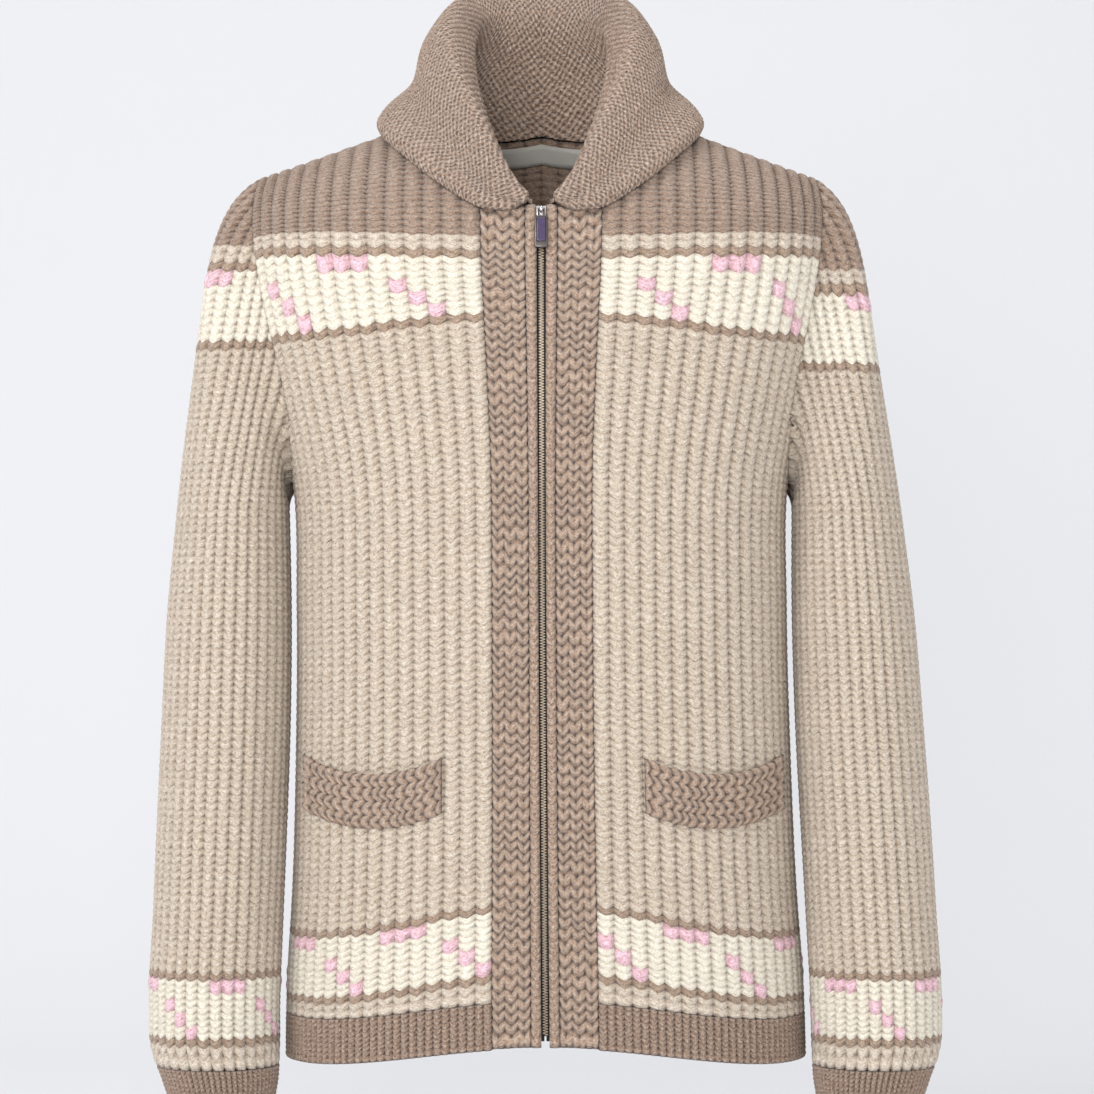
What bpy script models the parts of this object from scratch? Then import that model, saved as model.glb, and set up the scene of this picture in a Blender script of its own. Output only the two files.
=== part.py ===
"""A chunky knitted cardigan with a shawl collar and a full-length zip, filled out as on a wearer.

Metres, +Z up, the front faces -Y, and the wearer's left is +X. The origin is at the neck, level with
the back neck seam, midway between the side seams. Every wall is worked out from one smooth garment
surface: a place on it is named by how far round it is and how high up, and ribs stand out from it.
"""

import math

import bmesh
import bpy
import numpy as np
from mathutils import Matrix, Vector

# Wall of the knit, how far the ribs stand out of it, and the gap between pieces at a seam
KNIT = 0.0042
RIB = 0.0020
SEAM = 0.0003

# Heights of the panels, measured at the side seam
HEM_Z = -0.661
HEM_TOP_Z = -0.6294
UNDERARM_Z = -0.250
CHEST_Z = -0.100
YOKE_RISE = 0.150

# Neck and shoulders
NECK_HALF_WIDTH = 0.098
NECK_POINT_Z = 0.003
SHOULDER_HALF_WIDTH = 0.200
SHOULDER_Z = -0.034
RIDGE_Y = 0.003
FRONT_NECK_SHARE = 0.22
BACK_NECK_SHARE = 0.50

# Ribs counted round the garment
FRONT_RIBS = 18
BACK_RIBS = 44
SLEEVE_RIBS = 32

# Front bands beside the zip
BAND_OUTER_X = 0.0420
BAND_INNER_X = 0.0032
BAND_WALL = 0.0050

# The torso by height: half width at the side seams, depth of the front and depth of the back
TORSO = [
    {"z": -0.670, "half_width": 0.1850, "front": 0.116, "back": 0.119},
    {"z": -0.610, "half_width": 0.1835, "front": 0.119, "back": 0.116},
    {"z": -0.540, "half_width": 0.1790, "front": 0.119, "back": 0.110},
    {"z": -0.440, "half_width": 0.1755, "front": 0.117, "back": 0.103},
    {"z": -0.340, "half_width": 0.1740, "front": 0.118, "back": 0.102},
    {"z": -0.250, "half_width": 0.1760, "front": 0.121, "back": 0.109},
    {"z": -0.190, "half_width": 0.1880, "front": 0.121, "back": 0.115},
    {"z": -0.100, "half_width": 0.2080, "front": 0.115, "back": 0.117},
    {"z": -0.090, "half_width": 0.2095, "front": 0.114, "back": 0.117},
]
SQUARENESS = 2.4

# How far the front hem, stripes and yoke are drawn up towards the zip
FRONT_LIFT = [
    {"z": -0.661, "lift": 0.016},
    {"z": -0.600, "lift": 0.018},
    {"z": -0.400, "lift": 0.014},
    {"z": -0.155, "lift": 0.013},
    {"z": -0.100, "lift": 0.006},
]
LIFT_REACH = 0.75

# How the garment hangs a little to one side: all of it, and more where it is widest
LEAN = [
    {"z": -0.670, "whole": 0.0032, "wide": 0.0000},
    {"z": -0.500, "whole": 0.0018, "wide": 0.0000},
    {"z": -0.300, "whole": 0.0006, "wide": -0.0015},
    {"z": -0.100, "whole": 0.0000, "wide": -0.0040},
    {"z": 0.120, "whole": 0.0000, "wide": -0.0020},
]

# The armhole: how far round the body it cuts in, and how high its round bottom reaches
ARMHOLE_CUT = 0.20
ARMHOLE_ROUND = 0.075
CAP_DENT = 0.007

# The sleeve below the underarm: its outer and inner sides, middle from front to back, half depth
SLEEVE = [
    {"z": -0.726, "outer": 0.2600, "inner": 0.1990, "middle": -0.042, "half_depth": 0.039},
    {"z": -0.698, "outer": 0.2635, "inner": 0.1965, "middle": -0.041, "half_depth": 0.041},
    {"z": -0.675, "outer": 0.2706, "inner": 0.1925, "middle": -0.040, "half_depth": 0.046},
    {"z": -0.655, "outer": 0.2780, "inner": 0.1915, "middle": -0.038, "half_depth": 0.051},
    {"z": -0.620, "outer": 0.2800, "inner": 0.1910, "middle": -0.036, "half_depth": 0.054},
    {"z": -0.560, "outer": 0.2772, "inner": 0.1885, "middle": -0.031, "half_depth": 0.056},
    {"z": -0.500, "outer": 0.2745, "inner": 0.1858, "middle": -0.026, "half_depth": 0.058},
    {"z": -0.430, "outer": 0.2707, "inner": 0.1830, "middle": -0.020, "half_depth": 0.060},
    {"z": -0.343, "outer": 0.2653, "inner": 0.1815, "middle": -0.014, "half_depth": 0.062},
    {"z": -0.270, "outer": 0.2577, "inner": 0.1825, "middle": -0.008, "half_depth": 0.064},
]
SLEEVE_TOP_Z = -0.270
CUFF_TOP_Z = -0.664
CUFF_Z = -0.726

# The collar by section, from the middle of the back (0) to the zip (1): the middle of its roll, the
# roll's radius, the way the roll faces in degrees, and where the free edge lies: how far out, and how
# far up the front yoke and over the shoulder (1) down the back (2)
COLLAR_WALL = 0.0048
COLLAR = [
    {"at": 0.00, "roll": (0.0000, 0.084, 0.098), "radius": 0.0140, "faces": 90, "edge": (0.000, 1.64)},
    {"at": 0.16, "roll": (0.0360, 0.077, 0.096), "radius": 0.0145, "faces": 66, "edge": (0.060, 1.61)},
    {"at": 0.32, "roll": (0.0595, 0.052, 0.086), "radius": 0.0160, "faces": 36, "edge": (0.104, 1.40)},
    {"at": 0.46, "roll": (0.0665, 0.012, 0.065), "radius": 0.0165, "faces": 6, "edge": (0.1165, 1.04)},
    {"at": 0.59, "roll": (0.0625, -0.026, 0.038), "radius": 0.0150, "faces": -14, "edge": (0.113, 0.80)},
    {"at": 0.71, "roll": (0.0520, -0.056, 0.010), "radius": 0.0125, "faces": -30, "edge": (0.085, 0.57)},
    {"at": 0.82, "roll": (0.0400, -0.080, -0.016), "radius": 0.0095, "faces": -48, "edge": (0.055, 0.42)},
    {"at": 0.91, "roll": (0.0290, -0.095, -0.034), "radius": 0.0065, "faces": -62, "edge": (0.035, 0.31)},
    {"at": 1.00, "roll": (0.0185, -0.1025, -0.0455), "radius": 0.0045, "faces": -75, "edge": (0.0195, 0.24)},
]
NECK_BACK_PART = 0.42
COLLAR_FRONT_X = 0.0130

# Pocket welts: how far along the front they run and the sag of their middle; the lining bag behind,
# and the slit in the front, which starts in from the welt's ends and this far below its top
WELT_INNER_X = 0.070
WELT_OUTER_X = 0.168
WELT_TOP_Z = -0.4433
WELT_HEIGHT = 0.0385
WELT_SAG = 0.0120
WELT_WALL = 0.0040
WELT_GAPE = 0.0016
BAG_WALL = 0.0015
BAG_BOTTOM_Z = -0.605
LINING_GAP = 0.0010
MOUTH_INSET = 0.012
MOUTH_HEIGHT = 0.0044
MOUTH_DROP = 0.0207

# Neck label
LABEL_WIDTH = 0.076
LABEL_HEIGHT = 0.0175
LABEL_WALL = 0.0008
LABEL_DROP = 0.0012

# Zip: tape behind the bands and how far it bows in at the top, the closed chain, the slider whose
# plate stands proud of the bands and whose neck reaches back to the tape, and its pull tab
TAPE_WIDTH = 0.0120
TAPE_WALL = 0.0008
TAPE_CLEAR = 0.0006
TAPE_BOW = 0.0002
CHAIN_HALF_WIDTH = 0.0026
CHAIN_WALL = 0.0018
SLIDER_WIDTH = 0.0078
SLIDER_LENGTH = 0.0100
SLIDER_WALL = 0.0016
SLIDER_PROUD = 0.0030
SLIDER_DROP = 0.0050
NECK_SIZE = 0.0036
BAIL_WIDTH = 0.0018
BAIL_RISE = 0.0036
BAIL_TOP = 0.0042
BAIL_POST = 0.0016
BAIL_BRIDGE = 0.0012
PIN_RADIUS = 0.0007
ARM_WIDTH = 0.0011
ARM_DEPTH = 0.0015
ARM_REACH = 0.0064
ARM_OUT = 0.0021
PIN_PLAY = 0.0005
TAB_WIDTH = 0.0086
TAB_LENGTH = 0.0235
TAB_WALL = 0.0024
TAB_RIM = 0.0010
TAB_ENDS = 0.0056
TAB_END_SHIFT = 0.0012
STONE_SEAT = 0.0008
STONE_WALL = 0.0012
PULL_LEAN = 0.03

BROWN = {"colour": (0.39, 0.31, 0.25), "roughness": 0.95, "metal": 0.0}
BEIGE = {"colour": (0.63, 0.54, 0.46), "roughness": 0.95, "metal": 0.0}
LABEL_CLOTH = {"colour": (0.66, 0.63, 0.57), "roughness": 0.70, "metal": 0.0}
TAPE_CLOTH = {"colour": (0.20, 0.16, 0.13), "roughness": 0.90, "metal": 0.0}
SILVER = {"colour": (0.80, 0.80, 0.80), "roughness": 0.25, "metal": 1.0}
GUNMETAL = {"colour": (0.22, 0.20, 0.20), "roughness": 0.30, "metal": 1.0}
PURPLE = {"colour": (0.05, 0.03, 0.09), "roughness": 0.15, "metal": 0.0}


def hermite(start, end, leave, arrive, t):
    """The cubic from start to end that leaves and arrives with these tangents."""
    return (
        (1 + 2 * t) * (1 - t) ** 2 * start
        + t * (1 - t) ** 2 * leave
        + t * t * (3 - 2 * t) * end
        - t * t * (1 - t) * arrive
    )


def smooth(table, key, column):
    """A smooth curve through one column of a table, level past the table's ends."""
    xs = np.array([row[key] for row in table], float)
    ys = np.array([row[column] for row in table], float)
    slopes = np.gradient(ys, xs, axis=0)

    def read(at):
        at = np.clip(np.asarray(at, float), xs[0], xs[-1])
        k = np.clip(np.searchsorted(xs, at) - 1, 0, len(xs) - 2)
        width = xs[k + 1] - xs[k]
        t = (at - xs[k]) / width
        if ys.ndim > 1:
            width, t = width[..., None], t[..., None]
        return hermite(ys[k], ys[k + 1], slopes[k] * width, slopes[k + 1] * width, t)

    return read


torso_width = smooth(TORSO, "z", "half_width")
torso_front = smooth(TORSO, "z", "front")
torso_back = smooth(TORSO, "z", "back")
front_lift = smooth(FRONT_LIFT, "z", "lift")
lean_whole = smooth(LEAN, "z", "whole")
lean_wide = smooth(LEAN, "z", "wide")
sleeve_outer = smooth(SLEEVE, "z", "outer")
sleeve_inner = smooth(SLEEVE, "z", "inner")
sleeve_middle = smooth(SLEEVE, "z", "middle")
sleeve_depth = smooth(SLEEVE, "z", "half_depth")
collar_roll = smooth(COLLAR, "at", "roll")
collar_radius = smooth(COLLAR, "at", "radius")
collar_faces = smooth(COLLAR, "at", "faces")
collar_edge = smooth(COLLAR, "at", "edge")


def unit(v):
    return v / np.maximum(np.linalg.norm(v, axis=-1, keepdims=True), 1e-12)


def even_angles():
    """A quarter of the torso's ring from its middle to the side seam: the share of its length at each
    angle, and its length."""
    angle = np.linspace(0.0, math.pi / 2, 400)
    power = 2 / SQUARENESS
    x = 0.180 * np.sin(angle) ** power
    y = 0.118 * np.cos(angle) ** power
    length = np.concatenate([[0.0], np.cumsum(np.hypot(np.diff(x), np.diff(y)))])
    return length / length[-1], angle, length[-1]


RING_SHARE, RING_ANGLE, QUARTER = even_angles()


def ring(q, z):
    """Places of the torso's ring at height z: q is 0 at the front, 1 at the side seam, 2 at the back."""
    q, z = np.broadcast_arrays(np.asarray(q, float), np.asarray(z, float))
    back = q > 1
    share = np.clip(np.where(back, 2 - q, q), 0.0, 1.0)
    angle = np.interp(share, RING_SHARE, RING_ANGLE)
    power = 2 / SQUARENESS
    x = torso_width(z) * np.sin(angle) ** power
    depth = np.where(back, torso_back(z), -torso_front(z))
    y = depth * np.maximum(np.cos(angle), 0.0) ** power
    return np.stack([x, y, z], axis=-1)


def q_at(x):
    """How far round the front or back a place this far from the middle is, at the chest."""
    shares = RING_SHARE[::4]
    return np.interp(x, ring(shares, CHEST_Z)[..., 0], shares)


def lifted(q, z):
    """How far the front is drawn up at this place."""
    near = 0.5 * (1 + np.cos(np.pi * np.clip(np.asarray(q) / LIFT_REACH, 0, 1)))
    return front_lift(z) * near


def body_point(q, g):
    """The garment surface on the wearer's left. g is the height up to the chest, then the way along
    the yoke, up and over to the shoulder seam at CHEST_Z + YOKE_RISE."""
    q, g = np.broadcast_arrays(np.asarray(q, float), np.asarray(g, float))
    back = (q > 1)[..., None]
    up = np.array([0.0, 0.0, 1.0])
    low = np.minimum(g, CHEST_Z)
    below = ring(q, low) + up * lifted(q, low)[..., None] * ~back
    t = np.clip((g - CHEST_Z) / YOKE_RISE, 0.0, 1.0)[..., None]
    flat = ring(q, CHEST_Z)
    start = flat + up * lifted(q, CHEST_Z)[..., None] * ~back
    step = 0.004
    leave = (flat - ring(q, CHEST_Z - step)) / step * YOKE_RISE
    outward = np.minimum(flat[..., :1] / SHOULDER_HALF_WIDTH, 1.0)
    leave = leave * np.where(back, 1.9 - 0.6 * outward, 1.0)
    x = np.minimum(flat[..., :1], SHOULDER_HALF_WIDTH + 0.004)
    fall = (NECK_POINT_Z - SHOULDER_Z) / (SHOULDER_HALF_WIDTH - NECK_HALF_WIDTH)
    end = np.concatenate([x, x * 0 + RIDGE_Y, NECK_POINT_Z - (x - NECK_HALF_WIDTH) * fall], axis=-1)
    arrive_y = np.where(back, -0.16 + 0.05 * outward, 0.12)
    arrive = np.concatenate([x * 0, arrive_y, x * 0], axis=-1)
    yoke = hermite(start, end, leave, arrive, t)
    return np.where((g <= CHEST_Z)[..., None], below, yoke)


def armhole(g):
    """How far from the side seam the armhole lies at this height."""
    rise = np.clip((np.asarray(g, float) - UNDERARM_Z) / ARMHOLE_ROUND, 0.0, 1.0)
    return ARMHOLE_CUT * np.sqrt(1 - (1 - rise) ** 2)


def neck_share(q):
    """The share of the yoke, from chest to shoulder seam, that lies below the neckline."""
    q = np.asarray(q, float)
    x = np.minimum(ring(q, CHEST_Z)[..., 0] / NECK_HALF_WIDTH, 1.0)
    front = 1 - (1 - FRONT_NECK_SHARE) * (1 - x**3) ** 0.45
    back = 1 - (1 - BACK_NECK_SHARE) * (1 - x**2) ** 0.5
    return np.where(q > 1, back, front)


def on_panel(q, g):
    """The places on a panel nearest to (q, g): inside its armhole and below its neckline."""
    cut = armhole(g)
    q = np.where(q <= 1, np.minimum(q, 1 - cut), np.maximum(q, 1 + cut))
    return q, np.minimum(g, CHEST_Z + YOKE_RISE * neck_share(q))


def normals(surface, u, v, du=0.004, dv=0.002):
    """The surface's outward normals, from neighbouring places."""
    across = surface(u + du, v) - surface(u - du, v)
    up = surface(u, v + dv) - surface(u, v - dv)
    return unit(np.cross(across, up))


def body_normal(q, g):
    """Outward normals of the garment surface on the wearer's left, squared up at the seams."""
    q, g = np.broadcast_arrays(np.asarray(q, float), np.asarray(g, float))
    top = CHEST_Z + YOKE_RISE
    safe = np.where(q > 1, np.clip(q, 1.005, 1.995), np.clip(q, 0.005, 0.995))
    n = normals(body_point, safe, np.minimum(g, top - 0.0021))
    middle = (q < 0.0005) | (q > 1.9995)
    seam = (np.abs(q - 1) < 0.003) | (g > top - 0.002)
    n = np.stack([np.where(middle, 0.0, n[..., 0]), np.where(seam, 0.0, n[..., 1]), n[..., 2]], axis=-1)
    return unit(n)


def sided(points, side):
    """Points of the wearer's left moved to one side (+1 left, -1 right), with the garment's lean."""
    points = np.array(points, float)
    wide = np.clip(np.abs(points[..., 0]) / 0.24, 0.0, 1.2) ** 2
    points[..., 0] *= side
    points[..., 0] += lean_whole(points[..., 2]) + lean_wide(points[..., 2]) * wide
    return points


def fan(fine, coarse, closed):
    """Triangles between two rows of vertices, the second with fewer steps."""
    fine = list(fine) + [fine[0]] * closed
    coarse = list(coarse) + [coarse[0]] * closed
    ratio = (len(fine) - 1) // (len(coarse) - 1)
    faces = []
    for k in range(len(coarse) - 1):
        stretch = fine[k * ratio : (k + 1) * ratio + 1]
        half = (ratio + 1) // 2
        for j in range(ratio):
            faces.append((stretch[j], stretch[j + 1], coarse[k] if j < half else coarse[k + 1]))
        faces.append((coarse[k], coarse[k + 1], stretch[half]))
    return faces


def wall(name, outer, inner, finish, closed=False):
    """One closed wall between a fine outer skin and a plainer inner one, each an array of rows of
    points. A closed wall is a tube. Points that fall together, as at an armhole, become one."""
    made = bmesh.new()
    skins = [[[made.verts.new(p) for p in row] for row in skin] for skin in (outer, inner)]
    faces = []
    for skin in skins:
        for low, high in zip(skin, skin[1:]):
            for k in range(len(low) if closed else len(low) - 1):
                n = (k + 1) % len(low)
                faces += [(low[k], low[n], high[n]), (low[k], high[n], high[k])]
    for row in (0, -1):
        faces += fan(skins[0][row], skins[1][row], closed)
    if not closed:
        for column in (0, -1):
            edge = [row[column] for row in skins[0]]
            lining = [row[column] for row in skins[1]]
            faces += fan(edge, lining, False)
    for corners in faces:
        made.faces.new(corners)
    return finished(name, made, finish)


def finished(name, made, finish, weld=2e-6):
    """A bmesh made into a named object, welded, facing out and with its material."""
    bmesh.ops.remove_doubles(made, verts=made.verts, dist=weld)
    bmesh.ops.dissolve_degenerate(made, dist=weld, edges=made.edges)
    bmesh.ops.triangulate(made, faces=made.faces)
    bmesh.ops.recalc_face_normals(made, faces=made.faces)
    if made.calc_volume(signed=True) < 0:
        bmesh.ops.reverse_faces(made, faces=made.faces)
    data = bpy.data.meshes.new(name)
    made.to_mesh(data)
    made.free()
    return placed(name, data, finish)


def placed(name, data, finish):
    """An object for this mesh, in the garment's collection."""
    obj = bpy.data.objects.new(name, data)
    bpy.data.collections["cardigan"].objects.link(obj)
    data.materials.append(finish)
    for face in data.polygons:
        face.use_smooth = True
    data.set_sharp_from_angle(angle=math.radians(50))
    return obj


def material(name, look):
    made = bpy.data.materials.new(name)
    made.use_nodes = True
    shader = made.node_tree.nodes["Principled BSDF"]
    shader.inputs["Base Color"].default_value = (*look["colour"], 1.0)
    shader.inputs["Roughness"].default_value = look["roughness"]
    shader.inputs["Metallic"].default_value = look["metal"]
    return made


def ribbed(surface, normal, us, vs, thickness, limit=None, coarse=2):
    """Outer and inner skins over a grid of places: every other column of the outer one is a rib. Ribs
    stop at an armhole, which is where v is nothing on a sleeve."""
    u, v = np.meshgrid(us, vs)
    at_u, at_v = limit(u, v) if limit else (u, v)
    rib = (np.arange(u.shape[1]) % 2) * RIB * (np.abs(at_u - u) < 1e-9) * (v != 0)
    p, n = surface(at_u, at_v), normal(at_u, at_v)
    return p + n * rib[..., None], (p - n * thickness)[:, ::coarse]


PANEL_LEVELS = [-0.545, -0.44, -0.345, UNDERARM_Z, -0.234, -0.208, -0.175, CHEST_Z]
YOKE_SHARES = [0.18, 0.36, 0.54, 0.70, 0.85, 1.0]


def panel_rows(bottom):
    """Heights of a panel's sections, from its bottom to just short of the shoulder seam."""
    yoke = [CHEST_Z + YOKE_RISE * share for share in YOKE_SHARES]
    yoke[-1] -= SEAM
    return [bottom] + PANEL_LEVELS + yoke


def make_fronts(knit, rib_knit):
    us = np.linspace(q_at(BAND_OUTER_X), 1 - SEAM / QUARTER, 2 * FRONT_RIBS + 1)
    body = ribbed(body_point, body_normal, us, panel_rows(HEM_TOP_Z + SEAM), KNIT, on_panel)
    hem = ribbed(body_point, body_normal, us, [HEM_Z, HEM_TOP_Z - SEAM], KNIT * 0.9)
    for side, name in ((1, "left"), (-1, "right")):
        wall("front_" + name, sided(body[0], side), sided(body[1], side), knit)
        wall("hem_front_" + name, sided(hem[0], side), sided(hem[1], side), rib_knit)


def make_back(knit, rib_knit):
    half = np.linspace(1 + SEAM / QUARTER, 2.0, BACK_RIBS + 1)
    for name, rows, thickness, limit, finish in (
        ("back", panel_rows(HEM_TOP_Z + SEAM), KNIT, on_panel, knit),
        ("hem_back", [HEM_Z, HEM_TOP_Z - SEAM], KNIT * 0.9, None, rib_knit),
    ):
        skins = ribbed(body_point, body_normal, half, rows, thickness, limit, 4)
        both = [np.concatenate([sided(s, 1), sided(s, -1)[:, -2::-1]], axis=1) for s in skins]
        wall(name, both[0], both[1], finish)


def armhole_line():
    """The armhole's edge from the shoulder down the front to the underarm and up the back, set a
    little inside the hole: the share of its length, its points and the panels' normals."""
    levels = [g for g in panel_rows(HEM_TOP_Z) if g >= UNDERARM_Z][::-1]
    g = np.array(levels + levels[-2::-1])
    cut = armhole(g)
    q = np.where(np.arange(len(g)) < len(levels), 1 - cut, 1 + cut)
    points, facing = body_point(q, g), body_normal(q, g)
    step = np.linalg.norm(np.diff(points, axis=0), axis=1)
    share = np.concatenate([[0.0], np.cumsum(step)]) / step.sum()
    tangent = unit(np.gradient(points, share, axis=0))
    inward = unit(np.cross(tangent, facing))
    centre = points[len(levels) - 1] + np.array([0.02, 0.0, 0.09])
    inward *= np.sign(((centre - points) * inward).sum(axis=1))[:, None]
    return share, points + inward * 0.0006, facing


ARM_SHARE, ARM_POINTS, ARM_NORMALS = armhole_line()


def armhole_at(share, values):
    return np.stack([np.interp(share, ARM_SHARE, values[:, k]) for k in range(3)], axis=-1)


def tube_point(share, z):
    """The sleeve below the underarm: share is 0 at the outside, then front, inside, back."""
    angle = 2 * np.pi * share
    outer, inner = sleeve_outer(z), sleeve_inner(z)
    x = (outer + inner) / 2 + (outer - inner) / 2 * np.cos(angle)
    y = sleeve_middle(z) - sleeve_depth(z) * np.sin(angle)
    return np.stack([x, y, z + 0 * x], axis=-1)


def sleeve_point(share, v):
    """The sleeve: v from 0 at the armhole to 1 below the underarm, then on to 2 at the cuff's end."""
    share, v = np.broadcast_arrays(np.asarray(share, float) % 1.0, np.asarray(v, float))
    tube = tube_point(share, SLEEVE_TOP_Z + np.clip(v - 1, 0, 1) * (CUFF_Z - SLEEVE_TOP_Z))
    start, end = armhole_at(share, ARM_POINTS), tube_point(share, SLEEVE_TOP_Z + 0 * share)
    crown = 0.5 * (1 + np.cos(2 * np.pi * share))
    zero = crown * 0
    leave = np.stack([0.045 + 0.125 * crown**1.3, zero, 0.030 - 0.130 * crown], axis=-1)
    arrive = np.stack([0.030 * crown, zero, -0.030 - 0.220 * crown], axis=-1)
    t = np.clip(v, 0, 1)
    cap = hermite(start, end, leave, arrive, t[..., None])
    cap = cap - np.stack([CAP_DENT * crown**2 * np.sin(np.pi * t) ** 2, zero, zero], axis=-1)
    return np.where((v >= 1)[..., None], tube, cap)


def sleeve_normal(share, v):
    share, v = np.broadcast_arrays(np.asarray(share, float), np.asarray(v, float))
    n = normals(sleeve_point, share, np.maximum(v, 0.0021))
    return np.where((v < 1e-6)[..., None], armhole_at(share % 1.0, ARM_NORMALS), n)


def make_sleeves(knit, rib_knit):
    us = np.arange(2 * SLEEVE_RIBS) / (2 * SLEEVE_RIBS)
    cuff_v = 1 + (CUFF_TOP_Z - SLEEVE_TOP_Z) / (CUFF_Z - SLEEVE_TOP_Z)
    seam_v = SEAM / (SLEEVE_TOP_Z - CUFF_Z)
    sleeve_rows = [0.0, 0.14, 0.30, 0.48, 0.68, 0.86, 1.05, 1.30, 1.55, cuff_v - 0.05, cuff_v - seam_v]
    cuff_rows = [cuff_v + seam_v, cuff_v + 0.06, 2.0]
    for piece, rows, thickness, finish in (
        ("sleeve_", sleeve_rows, KNIT, knit),
        ("cuff_", cuff_rows, KNIT * 0.9, rib_knit),
    ):
        skins = ribbed(sleeve_point, sleeve_normal, us, rows, thickness, None, 2)
        for side, name in ((1, "left"), (-1, "right")):
            wall(piece + name, sided(skins[0], side), sided(skins[1], side), finish, closed=True)


def neck_place(share):
    """The place on the body of the neckline, share 0 at the middle of the back and 1 at the zip."""
    share = np.asarray(share, float)
    back_x = NECK_HALF_WIDTH * np.sin(np.clip(share / NECK_BACK_PART, 0, 1) * np.pi / 2)
    turn = np.clip((1 - share) / (1 - NECK_BACK_PART), 0, 1)
    front_x = COLLAR_FRONT_X + (NECK_HALF_WIDTH - COLLAR_FRONT_X) * np.sin(turn * np.pi / 2)
    q = np.where(share < NECK_BACK_PART, 2 - q_at(back_x), q_at(front_x))
    return q, CHEST_Z + YOKE_RISE * neck_share(q)


def yoke_place(x, over):
    """The place on the yoke this far out, going up the front (to 1) and down the back (to 2)."""
    q = q_at(x)
    behind = over > 1
    return np.where(behind, 2 - q, q), CHEST_Z + YOKE_RISE * np.where(behind, 2 - over, over)


ACROSS_COLLAR = [0.0, 0.6, 1.3, 2.0, 2.45, 2.8, 3.2, 3.55, 4.0, 4.6, 5.3, 6.0]


def collar_sections(shares):
    """Points across the collar at each share of the neck: seam, stand, roll, fall and free edge."""
    up = np.array([0.0, 0.0, 1.0])
    roll, radius, edge_at = collar_roll(shares), collar_radius(shares)[:, None], collar_edge(shares)
    turn = np.radians(collar_faces(shares))
    out = np.stack([np.cos(turn), np.sin(turn), turn * 0], axis=-1)
    p, n = body_point(*neck_place(shares)), body_normal(*neck_place(shares))
    ahead, behind = np.clip(shares + 0.01, 0, 1), np.clip(shares - 0.01, 0, 1)
    run = unit(body_point(*neck_place(ahead)) - body_point(*neck_place(behind)))
    inward = unit(np.cross(run, n))
    inward *= np.sign(((np.array([0.0, -0.01, 0.02]) - p) * inward).sum(axis=1))[:, None]
    seam = p + inward * (4 * SEAM + COLLAR_WALL / 2) - n * KNIT * 0.5
    edge_place = yoke_place(edge_at[:, 0], edge_at[:, 1])
    lift = RIB + 3 * SEAM + COLLAR_WALL / 2
    edge = body_point(*edge_place) + body_normal(*edge_place) * lift
    inner_side, outer_side = roll - out * radius, roll + out * radius
    drop = np.linalg.norm(edge - outer_side, axis=-1, keepdims=True)
    fall = (outer_side + edge) / 2 + (out + up * 0.4) * 0.05 * drop
    crest = roll + up * radius
    guides = np.stack([seam, (seam + inner_side) / 2, inner_side, crest, outer_side, fall, edge])
    rows = []
    for section in range(len(shares)):
        line = guides[:, section]
        space = np.concatenate([[0.0], np.cumsum(np.linalg.norm(np.diff(line, axis=0), axis=1))])
        table = [{"s": s, "p": tuple(q)} for s, q in zip(space, line)]
        rows.append(smooth(table, "s", "p")(np.interp(ACROSS_COLLAR, np.arange(7), space)))
    return np.array(rows)


def solid_sheet(name, rows, finish, thickness, offset=0.0):
    """An open sheet of points thickened by Solidify."""
    rows = np.array(rows)
    count, width = rows.shape[:2]
    faces = [
        (r * width + c, r * width + c + 1, (r + 1) * width + c + 1, (r + 1) * width + c)
        for r in range(count - 1)
        for c in range(width - 1)
    ]
    data = bpy.data.meshes.new(name)
    data.from_pydata([tuple(p) for row in rows for p in row], [], faces)
    obj = placed(name, data, finish)
    thick = obj.modifiers.new("thickness", "SOLIDIFY")
    thick.thickness = thickness
    thick.offset = offset
    thick.use_even_offset = True
    thick.use_quality_normals = True
    return obj


def make_collar(knit):
    left = collar_sections(np.linspace(0, 1, 17))
    solid_sheet("collar", np.concatenate([sided(left[::-1], 1), sided(left[1:], -1)]), knit, COLLAR_WALL)


BAND_LEVELS = [HEM_Z + 0.0005, HEM_TOP_Z] + PANEL_LEVELS + [CHEST_Z + YOKE_RISE * 0.12]


def make_bands(knit):
    """A front band: a broad knitted strip, a groove and a rolled edge beside the zip."""
    profile = [
        {"x": BAND_INNER_X, "proud": -0.0014},
        {"x": BAND_INNER_X + 0.0012, "proud": 0.0006},
        {"x": 0.0070, "proud": 0.0016},
        {"x": 0.0092, "proud": 0.0010},
        {"x": 0.0106, "proud": -0.0006},
        {"x": 0.0124, "proud": 0.0012},
        {"x": 0.0260, "proud": 0.0018},
        {"x": BAND_OUTER_X - 0.0030, "proud": 0.0014},
        {"x": BAND_OUTER_X - 2 * SEAM, "proud": 0.0000},
    ]
    us = q_at(np.array([row["x"] for row in profile]))
    proud = np.array([row["proud"] for row in profile])[:, None]
    u, g = np.meshgrid(us, BAND_LEVELS + [CHEST_Z + YOKE_RISE])
    g = np.minimum(g, CHEST_Z + YOKE_RISE * neck_share(u) - 0.0004)
    p, n = body_point(u, g), body_normal(u, g)
    for side, name in ((1, "left"), (-1, "right")):
        wall("band_" + name, sided(p + n * proud, side), sided((p - n * BAND_WALL)[:, ::4], side), knit)


def pocket_place(across, down):
    """A place on the front for the pocket: across from its inner end, and down from its top edge."""
    x = WELT_INNER_X + (WELT_OUTER_X - WELT_INNER_X) * across
    shares = RING_SHARE[::4]
    q = np.interp(x, ring(shares, WELT_TOP_Z)[..., 0], shares)
    z = WELT_TOP_Z - WELT_SAG * np.sin(np.pi * across) ** 0.8 - down
    return q, z - lifted(q, z)


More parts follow.
